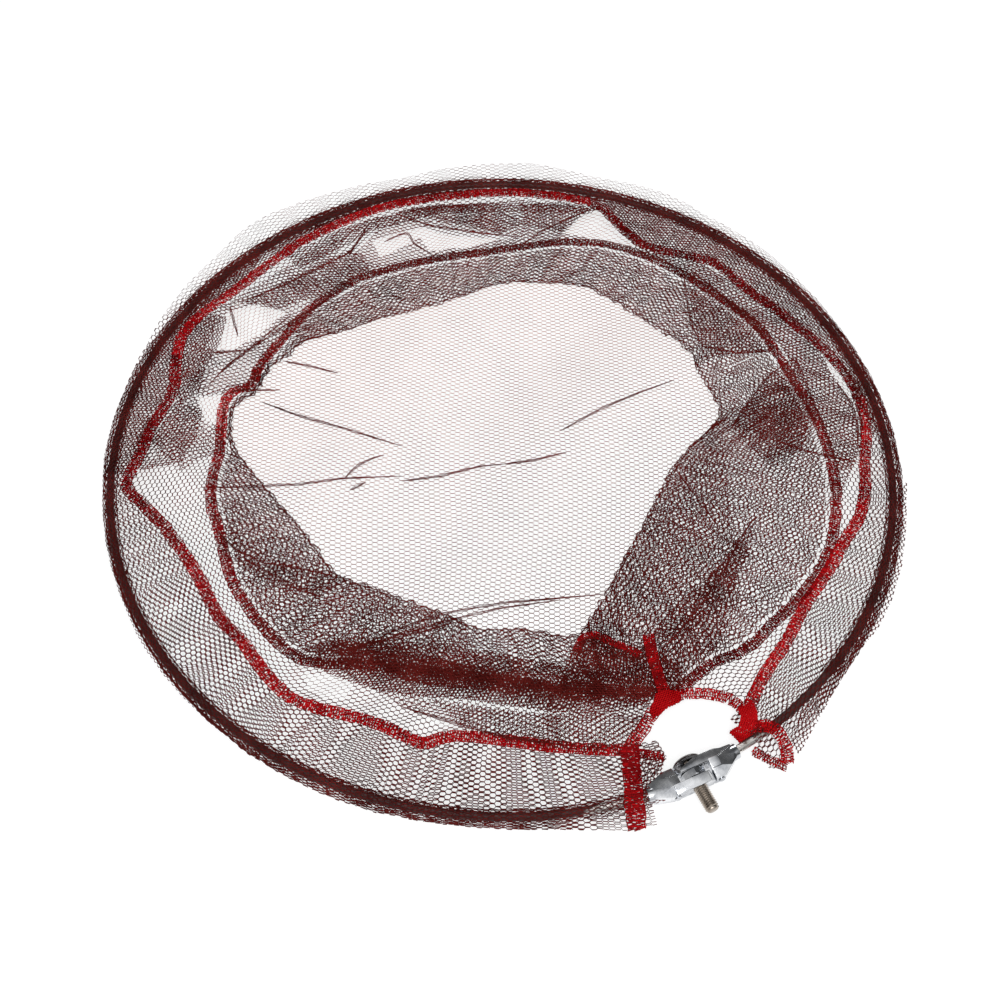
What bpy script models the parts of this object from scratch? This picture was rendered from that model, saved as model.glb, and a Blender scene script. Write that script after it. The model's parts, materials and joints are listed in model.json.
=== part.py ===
# Landing-net head: a folding 500 mm wire hoop with a fine mesh bag, lying on the ground.
#
# Units are metres and +Z is up. The origin is the centre of the handle screw's flat outer end,
# and the screw points along -Y. The hoop lies in the plane z = 0, and its centre is on +Y.
# The left half (-X) folds up and over the right half about the line x = 0, z = 0.

import math

import bmesh
import bpy
from mathutils import Matrix, Vector

# --- hoop -------------------------------------------------------------------------------
HOOP_RADIUS = 0.250            # centre line of the rod
ROD_RADIUS = 0.0025
ROD_STAGGER = 0.0017           # at the yoke the left rod lies this far outside the circle,
                               # and the right rod as far inside, because the arms lap
ROD_STEP = 5.0                 # degrees between points of the rod

# --- far hinge, opposite the yoke ---------------------------------------------------------
FOLD_LIMIT = 110.0             # degrees the left half turns up and over
EYE_RADIUS = 0.0036
RIVET_RADIUS = 0.0012
RIVET_HEAD_RADIUS = 0.0022
RIVET_HEAD_HEIGHT = 0.0008
RIVET_EDGE = 0.35              # upright part of the head, of its height
RIVET_CROWN = 0.7              # radius of the head's crown, of the head's

# --- yoke -----------------------------------------------------------------------------------
JAW_THICKNESS = 0.0057
ARM_HEIGHT = 0.0120
ARM_RIDGE_WIDTH = 0.0055       # flat on top and bottom of the faceted bar
ARM_EDGE_HEIGHT = 0.0064       # upright outer face of the faceted bar
JAW_END_RADIUS = 0.0095        # about the screw axis
TAPER_START = 0.0160           # from the screw axis, along the arm
TAPER_END = 0.0265
ARM_LENGTH = 0.0290
SOCKET_RADIUS = 0.0047
TAPER_TAIL = 0.9               # half width where the taper ends, of the socket's radius
ROD_END = 0.0108               # from the screw axis to the rod's end inside the arm
PIN_PLACE = 0.0138             # from the screw axis to the pin through arm and rod
PIN_RADIUS = 0.0010
PIN_HEAD_RADIUS = 0.0021
PIN_HEAD_HEIGHT = 0.0010
OVERSHOOT = 1.2                # how far the tools that shape the arm reach past it

# --- handle screw, an M8, and its jam nut ---------------------------------------------------
SCREW_RADIUS = 0.0040
SCREW_CHAMFER = 0.0007
THREAD_LENGTH_OUT = 0.0140     # thread in front of the outer jaw
HEAD_RADIUS = 0.0085
HEAD_HEIGHT = 0.0036
HEAD_RIM = 0.25                # upright part of the head, of its height
NUT_ACROSS_FLATS = 0.0130
NUT_HEIGHT = 0.0040

# --- fits -----------------------------------------------------------------------------------
GAP = 0.0003                   # between pieces that touch
ROD_FIT = 0.0004               # round the rod in its socket and in the sleeve
FOLD_GAP = 0.0005              # between a jaw's round end and the other arm's shoulder

# --- net ------------------------------------------------------------------------------------
NET_THICKNESS = 0.0008
TAPE_WIDTH = 0.0050
END_TAPE_WIDTH = 0.0080
FOLD_SPACE = 0.0009            # between the two layers of the folded wall
NET_TURN = 0.7                 # degrees from the yoke's line to the net's own zero
SLEEVE_SHOULDER = 0.0045       # from the rod's centre, where the sleeve's two sides meet
SHOULDER_UP = 0.55             # height of that edge above the rod's centre, of the hollow's
SHOULDER_DOWN = 0.75           # the same below it
SLEEVE_CREST = 0.0016          # half width of the sleeve's flat over the rod
SLEEVE_LEFT_GAP = 0.0015       # from the left arm's mouth to the sleeve's end
SLEEVE_RIGHT_GAP = 0.0205      # the same on the right, where the rod shows
HINGE_POCKET = 0.009           # half length of the sleeve's room for the far hinge
POCKET_EASE_ACROSS = 1.15      # of the sleeve's oval hollow over the square-edged hinge
POCKET_EASE_UP = 1.35
HOLLOW_EASE = 1.04             # of the many-sided hollow over the round it stands for
HOLLOW_TURNS = (180, 158, 132, 106, 74, 42, 12, -14, -42, -74, -106, -132, -155, -172)
BAND_CLEARANCE = 0.0045        # least gap between the upper band and the sleeve's shoulder
BAND_SETBACK = 0.0022          # from the sleeve's end tape to the end of the upper band
BAND_STEP = 15.0               # degrees between the insets listed below
NET_STEP = 5.0                 # degrees between the sections of the net

# How far inside the rod's circle each line of the bag lies, in millimetres, every 15 degrees
# from +X. The last list is how far outside it the sleeve's edge lies.
UPPER_BAND_INSETS = (13, 20, 24, 10, 7, 5, 2, 2, 9, 13, 17, 16,
                     37, 38, 34, 42, 46, 35, 27, 24, 35, 29, 15, 7)
LOWER_BAND_INSETS = (40, 42, 42, 47, 61, 70, 69, 67, 72, 74, 64, 61,
                     61, 58, 63, 78, 81, 74, 53, 45, 41, 38, 39, 39)
WALL_FOLD_INSETS = (95, 90, 86, 85, 93, 101, 108, 97, 90, 92, 90, 100,
                    108, 111, 120, 130, 116, 112, 122, 135, 143, 142, 138, 105)
SLEEVE_EDGE_OUTSETS = (8, 12, 14, 16, 22, 20, 20, 26, 16, 9, 7, 4,
                       5, 7, 8, 7, 6, 6, 6, 8, 7, 7, 8, 8)

# The cut-out in the upper wall at the yoke, from the left end of the band to the right one.
# Each point is its place across and its distance inside the rod's circle at the yoke.
CUTOUT_PATH = ((-0.0215, 0.0300), (-0.0115, 0.0395), (0.0000, 0.0450), (0.0130, 0.0455),
               (0.0250, 0.0425), (0.0365, 0.0375), (0.0445, 0.0300))
STRAP_PATH = ((0.0075, 0.0440), (0.0140, 0.0650), (0.0175, 0.0880))
STRAP_WIDTH = 0.0070
NOTCH_REACH = 3.0              # degrees each side of the cut-out without a regular section
NOTCH_EDGES = (1.5, 0.1)       # degrees outside it where the wall turns in to it
NOTCH_NUDGE = 0.01             # degrees a section stands inside a corner of the cut-out
RIM_INSET = 0.004              # bottom panel's edge inside the lower band
FOLD_INSET = 0.012             # least depth of the wall's fold inside the bottom panel's edge
SAG_SHARE = 0.16               # sag of the upper wall for its width
SAG_MOST = 0.0026
SAG_FROM = 0.45                # where the wall lies lowest, of its width
SAG_TO = 0.6
GRID_COUNT = 12                # openings across the bottom panel, which stand for its mesh
GRID_STRIP = 0.0055            # net left between openings
WALL_OPENING = 15.0            # degrees from one opening of the upper wall to the next
WALL_STRIP = 0.0060
WALL_OPENING_LEAST = 0.0070    # width of the narrowest opening
PLAIN_FROM = 254.0             # degrees: the wall stays whole here, under the strap and tape
PLAIN_TO = 287.0

# --- worked out -----------------------------------------------------------------------------
WINDOW = NUT_HEIGHT + 2 * GAP
ARM_DEPTH = 2 * JAW_THICKNESS + WINDOW
YOKE_Y = THREAD_LENGTH_OUT + ARM_DEPTH / 2
RING_Y = YOKE_Y + HOOP_RADIUS
FAR_Y = RING_Y + HOOP_RADIUS
SHOULDER = JAW_END_RADIUS + FOLD_GAP
FLOOR = -HEAD_RADIUS
LAYER = NET_THICKNESS + GAP

STEEL = ("bare steel rod", (0.235, 0.215, 0.205, 1.0), 0.38, 1.0)
CAST = ("cast zinc", (0.560, 0.575, 0.600, 1.0), 0.34, 1.0)
SCREW_STEEL = ("plated steel", (0.470, 0.400, 0.320, 1.0), 0.36, 1.0)
MESH_CLOTH = ("maroon mesh", (0.225, 0.110, 0.105, 1.0), 0.80, 0.0)
RED_TAPE = ("red tape", (0.440, 0.030, 0.035, 1.0), 0.75, 0.0)


def clear_scene():
    for old in list(bpy.data.objects):
        bpy.data.objects.remove(old, do_unlink=True)


def new_collection(name):
    made = bpy.data.collections.new(name)
    bpy.context.scene.collection.children.link(made)
    return made


def material_for(node, look):
    kind, colour, roughness, metallic = look
    made = bpy.data.materials.new(f"{node} {kind}")
    made.use_nodes = True
    shader = made.node_tree.nodes["Principled BSDF"]
    shader.inputs["Base Color"].default_value = colour
    shader.inputs["Roughness"].default_value = roughness
    shader.inputs["Metallic"].default_value = metallic
    return made


def put(obj, collection):
    for holder in list(obj.users_collection):
        holder.objects.unlink(obj)
    collection.objects.link(obj)
    return obj


def finish(obj, look):
    """Give a piece its collection, its material and smooth shading up to its real edges."""
    if obj.modifiers:
        bpy.context.view_layer.update()
        graph = bpy.context.evaluated_depsgraph_get()
        obj.data = bpy.data.meshes.new_from_object(obj.evaluated_get(graph))
        obj.data.name = obj.name
        obj.modifiers.clear()
    put(obj, PARTS)
    obj.data.materials.clear()
    obj.data.materials.append(material_for(obj.name, look))
    obj.data.shade_smooth()
    obj.data.set_sharp_from_angle(angle=math.radians(22))
    return obj


def as_cutter(obj):
    put(obj, CUTTERS)
    obj.hide_render = True
    obj.display_type = "WIRE"
    return obj


def bmesh_object(name, mesh):
    data = bpy.data.meshes.new(name)
    bmesh.ops.recalc_face_normals(mesh, faces=mesh.faces)
    mesh.to_mesh(data)
    mesh.free()
    return put(bpy.data.objects.new(name, data), PARTS)


def curve_as_mesh(curve_object):
    """Turn a curve object into a closed mesh object in the same place."""
    name = curve_object.name
    matrix = curve_object.matrix_world.copy()
    graph = bpy.context.evaluated_depsgraph_get()
    data = bpy.data.meshes.new_from_object(curve_object.evaluated_get(graph))
    mesh = bmesh.new()
    mesh.from_mesh(data)
    bmesh.ops.remove_doubles(mesh, verts=mesh.verts, dist=0.00001)
    bmesh.ops.recalc_face_normals(mesh, faces=mesh.faces)
    mesh.to_mesh(data)
    mesh.free()
    bpy.data.objects.remove(curve_object, do_unlink=True)
    made = put(bpy.data.objects.new(name, data), PARTS)
    made.matrix_world = matrix
    return made


def outlines(name, loops, half_thickness, matrix=None):
    """Extrude flat loops both ways from their plane. A loop inside another is a hole."""
    data = bpy.data.curves.new(name, "CURVE")
    data.dimensions = "2D"
    data.fill_mode = "BOTH"
    data.extrude = half_thickness
    for points in loops:
        spline = data.splines.new("POLY")
        spline.points.add(len(points) - 1)
        for place, (x, y) in zip(spline.points, points):
            place.co = (x, y, 0.0, 1.0)
        spline.use_cyclic_u = True
    made = put(bpy.data.objects.new(name, data), PARTS)
    if matrix:
        made.matrix_world = matrix
    bpy.context.view_layer.update()
    return curve_as_mesh(made)


def outline(name, points, half_thickness, matrix=None):
    return outlines(name, [points], half_thickness, matrix)


def cylinder(name, radius, start, end, sides=32, end_radius=None):
    """A cylinder or cone frustum between two points."""
    start, end = Vector(start), Vector(end)
    mesh = bmesh.new()
    bmesh.ops.create_cone(mesh, cap_ends=True, segments=sides, radius1=radius,
                          radius2=radius if end_radius is None else end_radius,
                          depth=(end - start).length)
    turn = (end - start).to_track_quat("Z", "Y").to_matrix().to_4x4()
    bmesh.ops.transform(mesh, matrix=Matrix.Translation((start + end) / 2) @ turn,
                        verts=mesh.verts)
    return bmesh_object(name, mesh)


def turned(name, profile, sides=40):
    """Turn a (radius, height) profile about Z. It runs down the outer side, axis to axis."""
    data = bpy.data.meshes.new(name)
    data.from_pydata([(r, 0.0, z) for r, z in profile],
                     [(i, i + 1) for i in range(len(profile) - 1)], [])
    made = put(bpy.data.objects.new(name, data), PARTS)
    screw = made.modifiers.new("turn", "SCREW")
    screw.axis = "Z"
    screw.steps = sides
    screw.render_steps = sides
    screw.use_merge_vertices = True
    screw.merge_threshold = 0.00001
    return made


def boolean(obj, other, operation):
    as_cutter(other)
    change = obj.modifiers.new(other.name, "BOOLEAN")
    change.operation = operation
    change.object = other
    change.solver = "EXACT"
    return obj


# --- rod route --------------------------------------------------------------------------------

def rod_radius_at(side, angle):
    """Radius of the rod's centre line round the hoop's centre. side is -1 left, 1 right."""
    return HOOP_RADIUS - side * ROD_STAGGER / 2 * (1 - math.sin(angle))


def rod_point(side, angle):
    radius = rod_radius_at(side, angle)
    return Vector((radius * math.cos(angle), RING_Y + radius * math.sin(angle), 0.0))


def mouth_angle(side):
    """Angle on the hoop where the rod enters its arm."""
    return -math.pi / 2 + side * math.asin(ARM_LENGTH / (HOOP_RADIUS - side * ROD_STAGGER))


def socket_line(side):
    """Point at the arm's mouth and the unit vector from there into the arm."""
    angle = mouth_angle(side)
    step = side * math.radians(0.5)
    inward = (rod_point(side, angle) - rod_point(side, angle + step)).normalized()
    return rod_point(side, angle), inward


def rod_route(side):
    """Points from the far hinge round to the rod's end inside the arm."""
    start = math.pi / 2
    end = mouth_angle(side)
    if side < 0:
        end += 2 * math.pi
    count = round(math.degrees(abs(end - start)) / ROD_STEP)
    points = [rod_point(side, start + (end - start) * i / count) for i in range(count + 1)]
    mouth, inward = socket_line(side)
    points.append(mouth + inward * (ARM_LENGTH - ROD_END) / abs(inward.x))
    return points


def make_rod(side, name):
    data = bpy.data.curves.new(name, "CURVE")
    data.dimensions = "3D"
    data.bevel_depth = ROD_RADIUS
    data.bevel_resolution = 4
    data.use_fill_caps = True
    points = rod_route(side)
    spline = data.splines.new("POLY")
    spline.points.add(len(points) - 1)
    for place, point in zip(spline.points, points):
        place.co = (*point, 1.0)
    made = put(bpy.data.objects.new(name, data), PARTS)
    bpy.context.view_layer.update()
    rod = curve_as_mesh(made)

    # The left eye is the outer leaf of the lap and the right eye the inner one.
    lapped = -side
    near = FAR_Y + lapped * GAP / 2
    face = FAR_Y + lapped * ROD_RADIUS
    away = FAR_Y - lapped * 2 * ROD_RADIUS
    # From here out the two round rods are clear of each other when folded to the limit.
    clear = ROD_RADIUS / math.sin(math.radians(180 - FOLD_LIMIT) / 2)
    eye = cylinder(f"{name} eye", EYE_RADIUS, (0, near, 0), (0, face, 0), 36)
    lap = cylinder(f"{name} lap", max(clear, EYE_RADIUS) + FOLD_GAP, (0, near, 0),
                   (0, away, 0), 36)
    hole = cylinder(f"{name} hinge hole", RIVET_RADIUS + GAP, (0, near - lapped * GAP, 0),
                    (0, face + lapped * GAP, 0), 24)
    boolean(rod, eye, "UNION")
    boolean(rod, lap, "DIFFERENCE")
    boolean(rod, hole, "DIFFERENCE")
    middle = pin_middle(side)
    pin_hole = cylinder(f"{name} pin hole", PIN_RADIUS + GAP,
                        middle - Vector((0, 2 * ROD_RADIUS, 0)),
                        middle + Vector((0, 2 * ROD_RADIUS, 0)), 20)
    boolean(rod, pin_hole, "DIFFERENCE")
    return finish(rod, STEEL)


def make_hinge_rivet():
    face = ROD_RADIUS + GAP
    top = face + RIVET_HEAD_HEIGHT
    edge = face + RIVET_HEAD_HEIGHT * RIVET_EDGE
    half = [(RIVET_RADIUS, face), (RIVET_HEAD_RADIUS, face), (RIVET_HEAD_RADIUS, edge),
            (RIVET_HEAD_RADIUS * RIVET_CROWN, top - GAP / 2), (0.0, top)]
    profile = [(r, z) for r, z in reversed(half)] + [(r, -z) for r, z in half]
    rivet = turned("hinge_rivet", profile, 28)
    rivet.rotation_euler = (math.radians(90), 0, 0)
    rivet.location = (0, FAR_Y, 0)
    return finish(rivet, STEEL)


# --- yoke ----------------------------------------------------------------------------------

def pin_middle(side):
    mouth, inward = socket_line(side)
    return mouth + inward * (ARM_LENGTH - PIN_PLACE) / abs(inward.x)


def arm_plan(side, jaw):
    """Outline seen from above. jaw is -1 for the outer jaw and 1 for the inner one."""
    mouth, inward = socket_line(side)
    taper = mouth + inward * (ARM_LENGTH - TAPER_END) / abs(inward.x)
    half = ARM_DEPTH / 2
    tail = SOCKET_RADIUS * TAPER_TAIL
    back = -JAW_END_RADIUS * OVERSHOOT
    points = [(back, jaw * WINDOW / 2), (back, jaw * half), (TAPER_START, jaw * half),
              (TAPER_END, taper.y - YOKE_Y + jaw * tail),
              (TAPER_END, taper.y - YOKE_Y - jaw * tail),
              (TAPER_START, -jaw * half), (SHOULDER, -jaw * half),
              (SHOULDER, jaw * WINDOW / 2)]
    return [(side * x, YOKE_Y + y) for x, y in points]


def arm_elevation(side):
    """Outline seen from the front: a jaw end that is round about the screw, and the taper."""
    half = ARM_HEIGHT / 2
    corner = math.asin(half / JAW_END_RADIUS)
    steps = 6
    arc = [(-JAW_END_RADIUS * math.cos(corner * (1 - 2 * i / steps)),
            JAW_END_RADIUS * math.sin(corner * (1 - 2 * i / steps))) for i in range(steps + 1)]
    tail = SOCKET_RADIUS * TAPER_TAIL
    points = arc + [(TAPER_START, -half), (TAPER_END, -tail), (TAPER_END, tail),
                    (TAPER_START, half)]
    return [(side * x, z) for x, z in points]


def bar_section():
    """The faceted bar's section, across (y) and up (z)."""
    half = ARM_DEPTH / 2
    ridge = ARM_RIDGE_WIDTH / 2
    edge = ARM_EDGE_HEIGHT / 2
    top = ARM_HEIGHT / 2
    return [(half, -edge), (half, edge), (ridge, top), (-ridge, top),
            (-half, edge), (-half, -edge), (-ridge, -top), (ridge, -top)]


def make_arm(side, jaw, name):
    upright = Matrix.Translation((0, YOKE_Y, 0)) @ Matrix.Rotation(math.radians(90), 4, "X")
    along = Matrix(((0, 0, 1, 0), (1, 0, 0, YOKE_Y), (0, 1, 0, 0), (0, 0, 0, 1)))
    arm = outline(name, arm_plan(side, jaw), ARM_HEIGHT / 2 * OVERSHOOT)
    elevation = outline(f"{name} elevation", arm_elevation(side), ARM_DEPTH, upright)
    section = outline(f"{name} section", bar_section(), ARM_LENGTH * 1.5, along)
    boolean(arm, elevation, "INTERSECT")
    boolean(arm, section, "INTERSECT")

    mouth, inward = socket_line(side)
    deep = mouth + inward * (ARM_LENGTH - TAPER_START) / abs(inward.x)
    socket = cylinder(f"{name} socket", SOCKET_RADIUS, mouth, deep, 32)
    bore_end = mouth + inward * (ARM_LENGTH - ROD_END + GAP) / abs(inward.x)
    bore = cylinder(f"{name} bore", ROD_RADIUS + ROD_FIT, mouth - inward * 0.002, bore_end, 28)
    reach = Vector((0, ARM_DEPTH, 0))
    centre = Vector((0, YOKE_Y, 0))
    screw_hole = cylinder(f"{name} screw hole", SCREW_RADIUS + GAP,
                          centre - reach, centre + reach, 32)
    middle = pin_middle(side)
    pin_hole = cylinder(f"{name} pin hole", PIN_RADIUS + GAP, middle - reach, middle + reach, 20)
    boolean(arm, socket, "UNION")
    boolean(arm, bore, "DIFFERENCE")
    boolean(arm, screw_hole, "DIFFERENCE")
    boolean(arm, pin_hole, "DIFFERENCE")
    return finish(arm, CAST)


def make_rod_pin(side, name):
    """A headed pin, put in from the outer side, through the arm and the rod."""
    middle = pin_middle(side)
    face = YOKE_Y - ARM_DEPTH / 2 - GAP
    inner = YOKE_Y + ARM_DEPTH / 2
    top = PIN_HEAD_HEIGHT
    profile = [(0.0, top), (PIN_HEAD_RADIUS * 0.6, top * 0.85), (PIN_HEAD_RADIUS, top * 0.3),
               (PIN_HEAD_RADIUS, 0.0), (PIN_RADIUS, 0.0), (PIN_RADIUS, face - inner),
               (0.0, face - inner)]
    pin = turned(name, profile, 24)
    pin.rotation_euler = (math.radians(90), 0, 0)
    pin.location = (middle.x, face, middle.z)
    return finish(pin, SCREW_STEEL)


def make_handle_screw():
    """The shank points along -Y from a low domed head behind the inner jaw."""
    seat = YOKE_Y + ARM_DEPTH / 2 + GAP
    steps = 6
    rim = HEAD_HEIGHT * HEAD_RIM
    dome = [(HEAD_RADIUS * math.cos(math.radians(90 * i / steps)),
             rim + (HEAD_HEIGHT - rim) * math.sin(math.radians(90 * i / steps)))
            for i in range(steps, -1, -1)]
    dome[0] = (0.0, HEAD_HEIGHT)
    profile = dome + [(HEAD_RADIUS, 0.0), (SCREW_RADIUS, 0.0),
                      (SCREW_RADIUS, SCREW_CHAMFER - seat), (SCREW_RADIUS - SCREW_CHAMFER, -seat),
                      (0.0, -seat)]
    screw = turned("handle_screw", profile, 40)
    screw.rotation_euler = (math.radians(-90), 0, 0)
    screw.location = (0, seat, 0)
    return finish(screw, SCREW_STEEL)


def make_lock_nut():
    """A hexagon with its corners turned down, round the screw in the window of the yoke."""
    corner = NUT_ACROSS_FLATS / 2 / math.cos(math.radians(30))
    mesh = bmesh.new()
    bmesh.ops.create_cone(mesh, cap_ends=True, segments=6, radius1=corner, radius2=corner,
                          depth=NUT_HEIGHT)
    nut = bmesh_object("lock_nut", mesh)
    chamfer = (corner - NUT_ACROSS_FLATS / 2) / 2
    half = NUT_HEIGHT / 2
    barrel = turned("lock_nut barrel", [(0.0, half), (corner - 2 * chamfer, half),
                                        (corner, half - chamfer), (corner, chamfer - half),
                                        (corner - 2 * chamfer, -half), (0.0, -half)], 36)
    bore = cylinder("lock_nut bore", SCREW_RADIUS + GAP, (0, 0, -NUT_HEIGHT),
                    (0, 0, NUT_HEIGHT), 32)
    boolean(nut, barrel, "INTERSECT")
    boolean(nut, bore, "DIFFERENCE")
    for piece in (nut, barrel, bore):
        piece.rotation_euler = (math.radians(90), 0, 0)
        piece.location = (0, YOKE_Y, 0)
    return finish(nut, SCREW_STEEL)


# --- net -----------------------------------------------------------------------------------

def listed(values, degrees):
    """Smooth length in metres at an angle, through a list with one value every BAND_STEP."""
    place = ((degrees - NET_TURN) / BAND_STEP) % len(values)
    index = int(place)
    part = place - index
    before, here, there, after = (values[(index + k) % len(values)] for k in (-1, 0, 1, 2))
    slope_here = (there - before) / 2
    slope_there = (after - here) / 2
    value = ((2 * part ** 3 - 3 * part ** 2 + 1) * here + (part ** 3 - 2 * part ** 2 + part)
             * slope_here + (3 * part ** 2 - 2 * part ** 3) * there
             + (part ** 3 - part ** 2) * slope_there)
    return value / 1000


def side_of(degrees):
    return -1 if 90 < degrees % 360 < 270 else 1


def sleeve_room(degrees):
    """Half width and half height of the hollow round the rod, larger at the far hinge."""
    across = ROD_RADIUS + ROD_FIT
    pocket = math.degrees(HINGE_POCKET / HOOP_RADIUS)
    share = max(0.0, 1 - abs(degrees % 360 - 90) / pocket) ** 0.5
    rivet = (ROD_RADIUS + RIVET_HEAD_HEIGHT + 2 * GAP) * POCKET_EASE_ACROSS
    eye = (EYE_RADIUS + GAP) * POCKET_EASE_UP
    return across + (rivet - across) * share, across + (eye - across) * share


def shoulder_reach(degrees):
    """Distance from the rod's centre line to the sleeve's shoulder on each side."""
    return SLEEVE_SHOULDER + sleeve_room(degrees)[0] - ROD_RADIUS - ROD_FIT


def upper_band_radius(degrees):
    rod = rod_radius_at(side_of(degrees), math.radians(degrees))
    limit = rod - shoulder_reach(degrees) - BAND_CLEARANCE - TAPE_WIDTH / 2
    return min(HOOP_RADIUS - listed(UPPER_BAND_INSETS, degrees), limit)


def lower_band_radius(degrees):
    return HOOP_RADIUS - listed(LOWER_BAND_INSETS, degrees)


def wall_fold_radius(degrees):
    deepest = lower_band_radius(degrees) - RIM_INSET - FOLD_INSET
    return min(HOOP_RADIUS - listed(WALL_FOLD_INSETS, degrees), deepest)


def from_hoop(path):
    """Turn (across, inset from the rod's circle) into places about the hoop's centre."""
    return [(x, inset - HOOP_RADIUS) for x, inset in path]


def height(layer):
    """Bottom of a layer of the net, counted from the ground."""
    return FLOOR + layer * LAYER


def on_ring(radius, degrees, z):
    angle = math.radians(degrees)
    return (radius * math.cos(angle), RING_Y + radius * math.sin(angle), z)


def even_angles(start, end, step=NET_STEP):
    count = max(1, round((end - start) / step))
    return [start + (end - start) * i / count for i in range(count + 1)]


def ring_loft(name, section, angles, closed):
    """Loft a section of (radius, z) points round the hoop's centre."""
    mesh = bmesh.new()
    rings = [[mesh.verts.new(on_ring(r, a, z)) for r, z in section(a)] for a in angles]
    pairs = list(zip(rings, rings[1:] + rings[:1]))
    if not closed:
        pairs = pairs[:-1]
    for here, there in pairs:
        for i in range(len(here)):
            j = (i + 1) % len(here)
            mesh.faces.new((here[i], here[j], there[j], there[i]))
    if not closed:
        mesh.faces.new(rings[0])
        mesh.faces.new(list(reversed(rings[-1])))
    return bmesh_object(name, mesh)


def full_turn():
    return even_angles(0, 360)[:-1]


def flat_section(inner, outer, bottom):
    top = bottom + NET_THICKNESS
    return [(inner, bottom), (outer, bottom), (outer, top), (inner, top)]


def sleeve_start():
    """Angle of the sleeve's right end, past the bare stretch of rod."""
    place = (ARM_LENGTH + SLEEVE_RIGHT_GAP) / (HOOP_RADIUS - ROD_STAGGER)
    return math.degrees(math.asin(place)) - 90


def sleeve_end():
    """Angle of the sleeve's left end, one turn on from the yoke at -90."""
    place = (ARM_LENGTH + SLEEVE_LEFT_GAP) / (HOOP_RADIUS + ROD_STAGGER)
    return 270 - math.degrees(math.asin(place))


def end_tape_angle():
    return math.degrees(END_TAPE_WIDTH / HOOP_RADIUS)


def sleeve_angles():
    start, end = sleeve_start(), sleeve_end()
    tape = end_tape_angle()
    pocket = math.degrees(HINGE_POCKET / HOOP_RADIUS)
    hinge = [90 - pocket, 90 - pocket / 2, 90, 90 + pocket / 2, 90 + pocket]
    first = even_angles(start + tape, hinge[0])
    last = even_angles(hinge[-1], end - tape)
    return [start, *first, *hinge[1:-1], *last, end]


def sleeve_top(degrees):
    """The sleeve's upper contour, from the band's inner edge over the rod to the ground."""
    rod = rod_radius_at(side_of(degrees), math.radians(degrees))
    band = upper_band_radius(degrees)
    room = sleeve_room(degrees)[1]
    flat = height(5) - GAP / 2 + NET_THICKNESS
    crest = room + NET_THICKNESS
    shoulder = room * SHOULDER_UP
    reach = shoulder_reach(degrees)
    outer = max(HOOP_RADIUS + listed(SLEEVE_EDGE_OUTSETS, degrees),
                rod + reach + 2 * NET_THICKNESS)
    return [(band - TAPE_WIDTH / 2, flat), (band + TAPE_WIDTH / 2 + GAP, flat),
            (rod - reach, shoulder), (rod - SLEEVE_CREST, crest), (rod + SLEEVE_CREST, crest),
            (rod + reach, shoulder), (outer, FLOOR + NET_THICKNESS)]


def sleeve_outside(degrees):
    """The closed outer section: the upper contour and its lower side."""
    rod = rod_radius_at(side_of(degrees), math.radians(degrees))
    room = sleeve_room(degrees)[1]
    top = sleeve_top(degrees)
    reach = shoulder_reach(degrees)
    flat = top[0][1] - NET_THICKNESS
    under = [(top[-1][0], FLOOR), (rod + reach - NET_THICKNESS, -room * SHOULDER_DOWN),
             (rod + SLEEVE_CREST, -room - NET_THICKNESS),
             (rod - SLEEVE_CREST, -room - NET_THICKNESS),
             (rod - reach + NET_THICKNESS, -room * SHOULDER_DOWN),
             (top[1][0], flat), (top[0][0], flat)]
    return top + under


def sleeve_inside(degrees):
    """The hollow round the rod, with as many points as the outer section."""
    rod = rod_radius_at(side_of(degrees), math.radians(degrees))
    width, room = sleeve_room(degrees)
    return [(rod + width * HOLLOW_EASE * math.cos(math.radians(turn)),
             room * HOLLOW_EASE * math.sin(math.radians(turn))) for turn in HOLLOW_TURNS]


def make_sleeve():
    """A soft tube round the rod, open at both ends, that tapers to a flap on each side."""
    mesh = bmesh.new()
    angles = sleeve_angles()
    outer = [[mesh.verts.new(on_ring(r, a, z)) for r, z in sleeve_outside(a)] for a in angles]
    inner = [[mesh.verts.new(on_ring(r, a, z)) for r, z in sleeve_inside(a)] for a in angles]
    count = len(outer[0])
    for rings, flip in ((outer, False), (inner, True)):
        for here, there in zip(rings, rings[1:]):
            for i in range(count):
                j = (i + 1) % count
                face = (here[i], here[j], there[j], there[i])
                mesh.faces.new(tuple(reversed(face)) if flip else face)
    for k in (0, -1):
        for i in range(count):
            j = (i + 1) % count
            mesh.faces.new((outer[k][i], outer[k][j], inner[k][j], inner[k][i]))
    return finish(bmesh_object("sleeve_net", mesh), MESH_CLOTH)


def raised(points, distance):
    """Move a contour of (radius, z) points away from itself, on its upper side."""
    moved = []
    for i, (r, z) in enumerate(points):
        r0, z0 = points[max(i - 1, 0)]
        r1, z1 = points[min(i + 1, len(points) - 1)]
        length = math.hypot(r1 - r0, z1 - z0)
        moved.append((r - (z1 - z0) / length * distance, z + (r1 - r0) / length * distance))
    return moved


def make_end_tape(name, start, end):
    """Red tape over the end of the sleeve, from the band to the rod's outer side."""
    def section(degrees):
        contour = sleeve_top(degrees)[1:-1]
        low = raised(contour, GAP)
        return low + list(reversed(raised(contour, GAP + NET_THICKNESS)))
    return finish(ring_loft(name, section, [start, end], False), RED_TAPE)


def make_upper_band():
    def section(degrees):
        band = upper_band_radius(degrees)
        return flat_section(band - TAPE_WIDTH / 2, band + TAPE_WIDTH / 2,
                            height(6) - GAP / 2)
    back = end_tape_angle() + math.degrees(BAND_SETBACK / HOOP_RADIUS)
    angles = even_angles(sleeve_start() + back, sleeve_end() - back)
    return finish(ring_loft("upper_band", section, angles, False), RED_TAPE)


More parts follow.
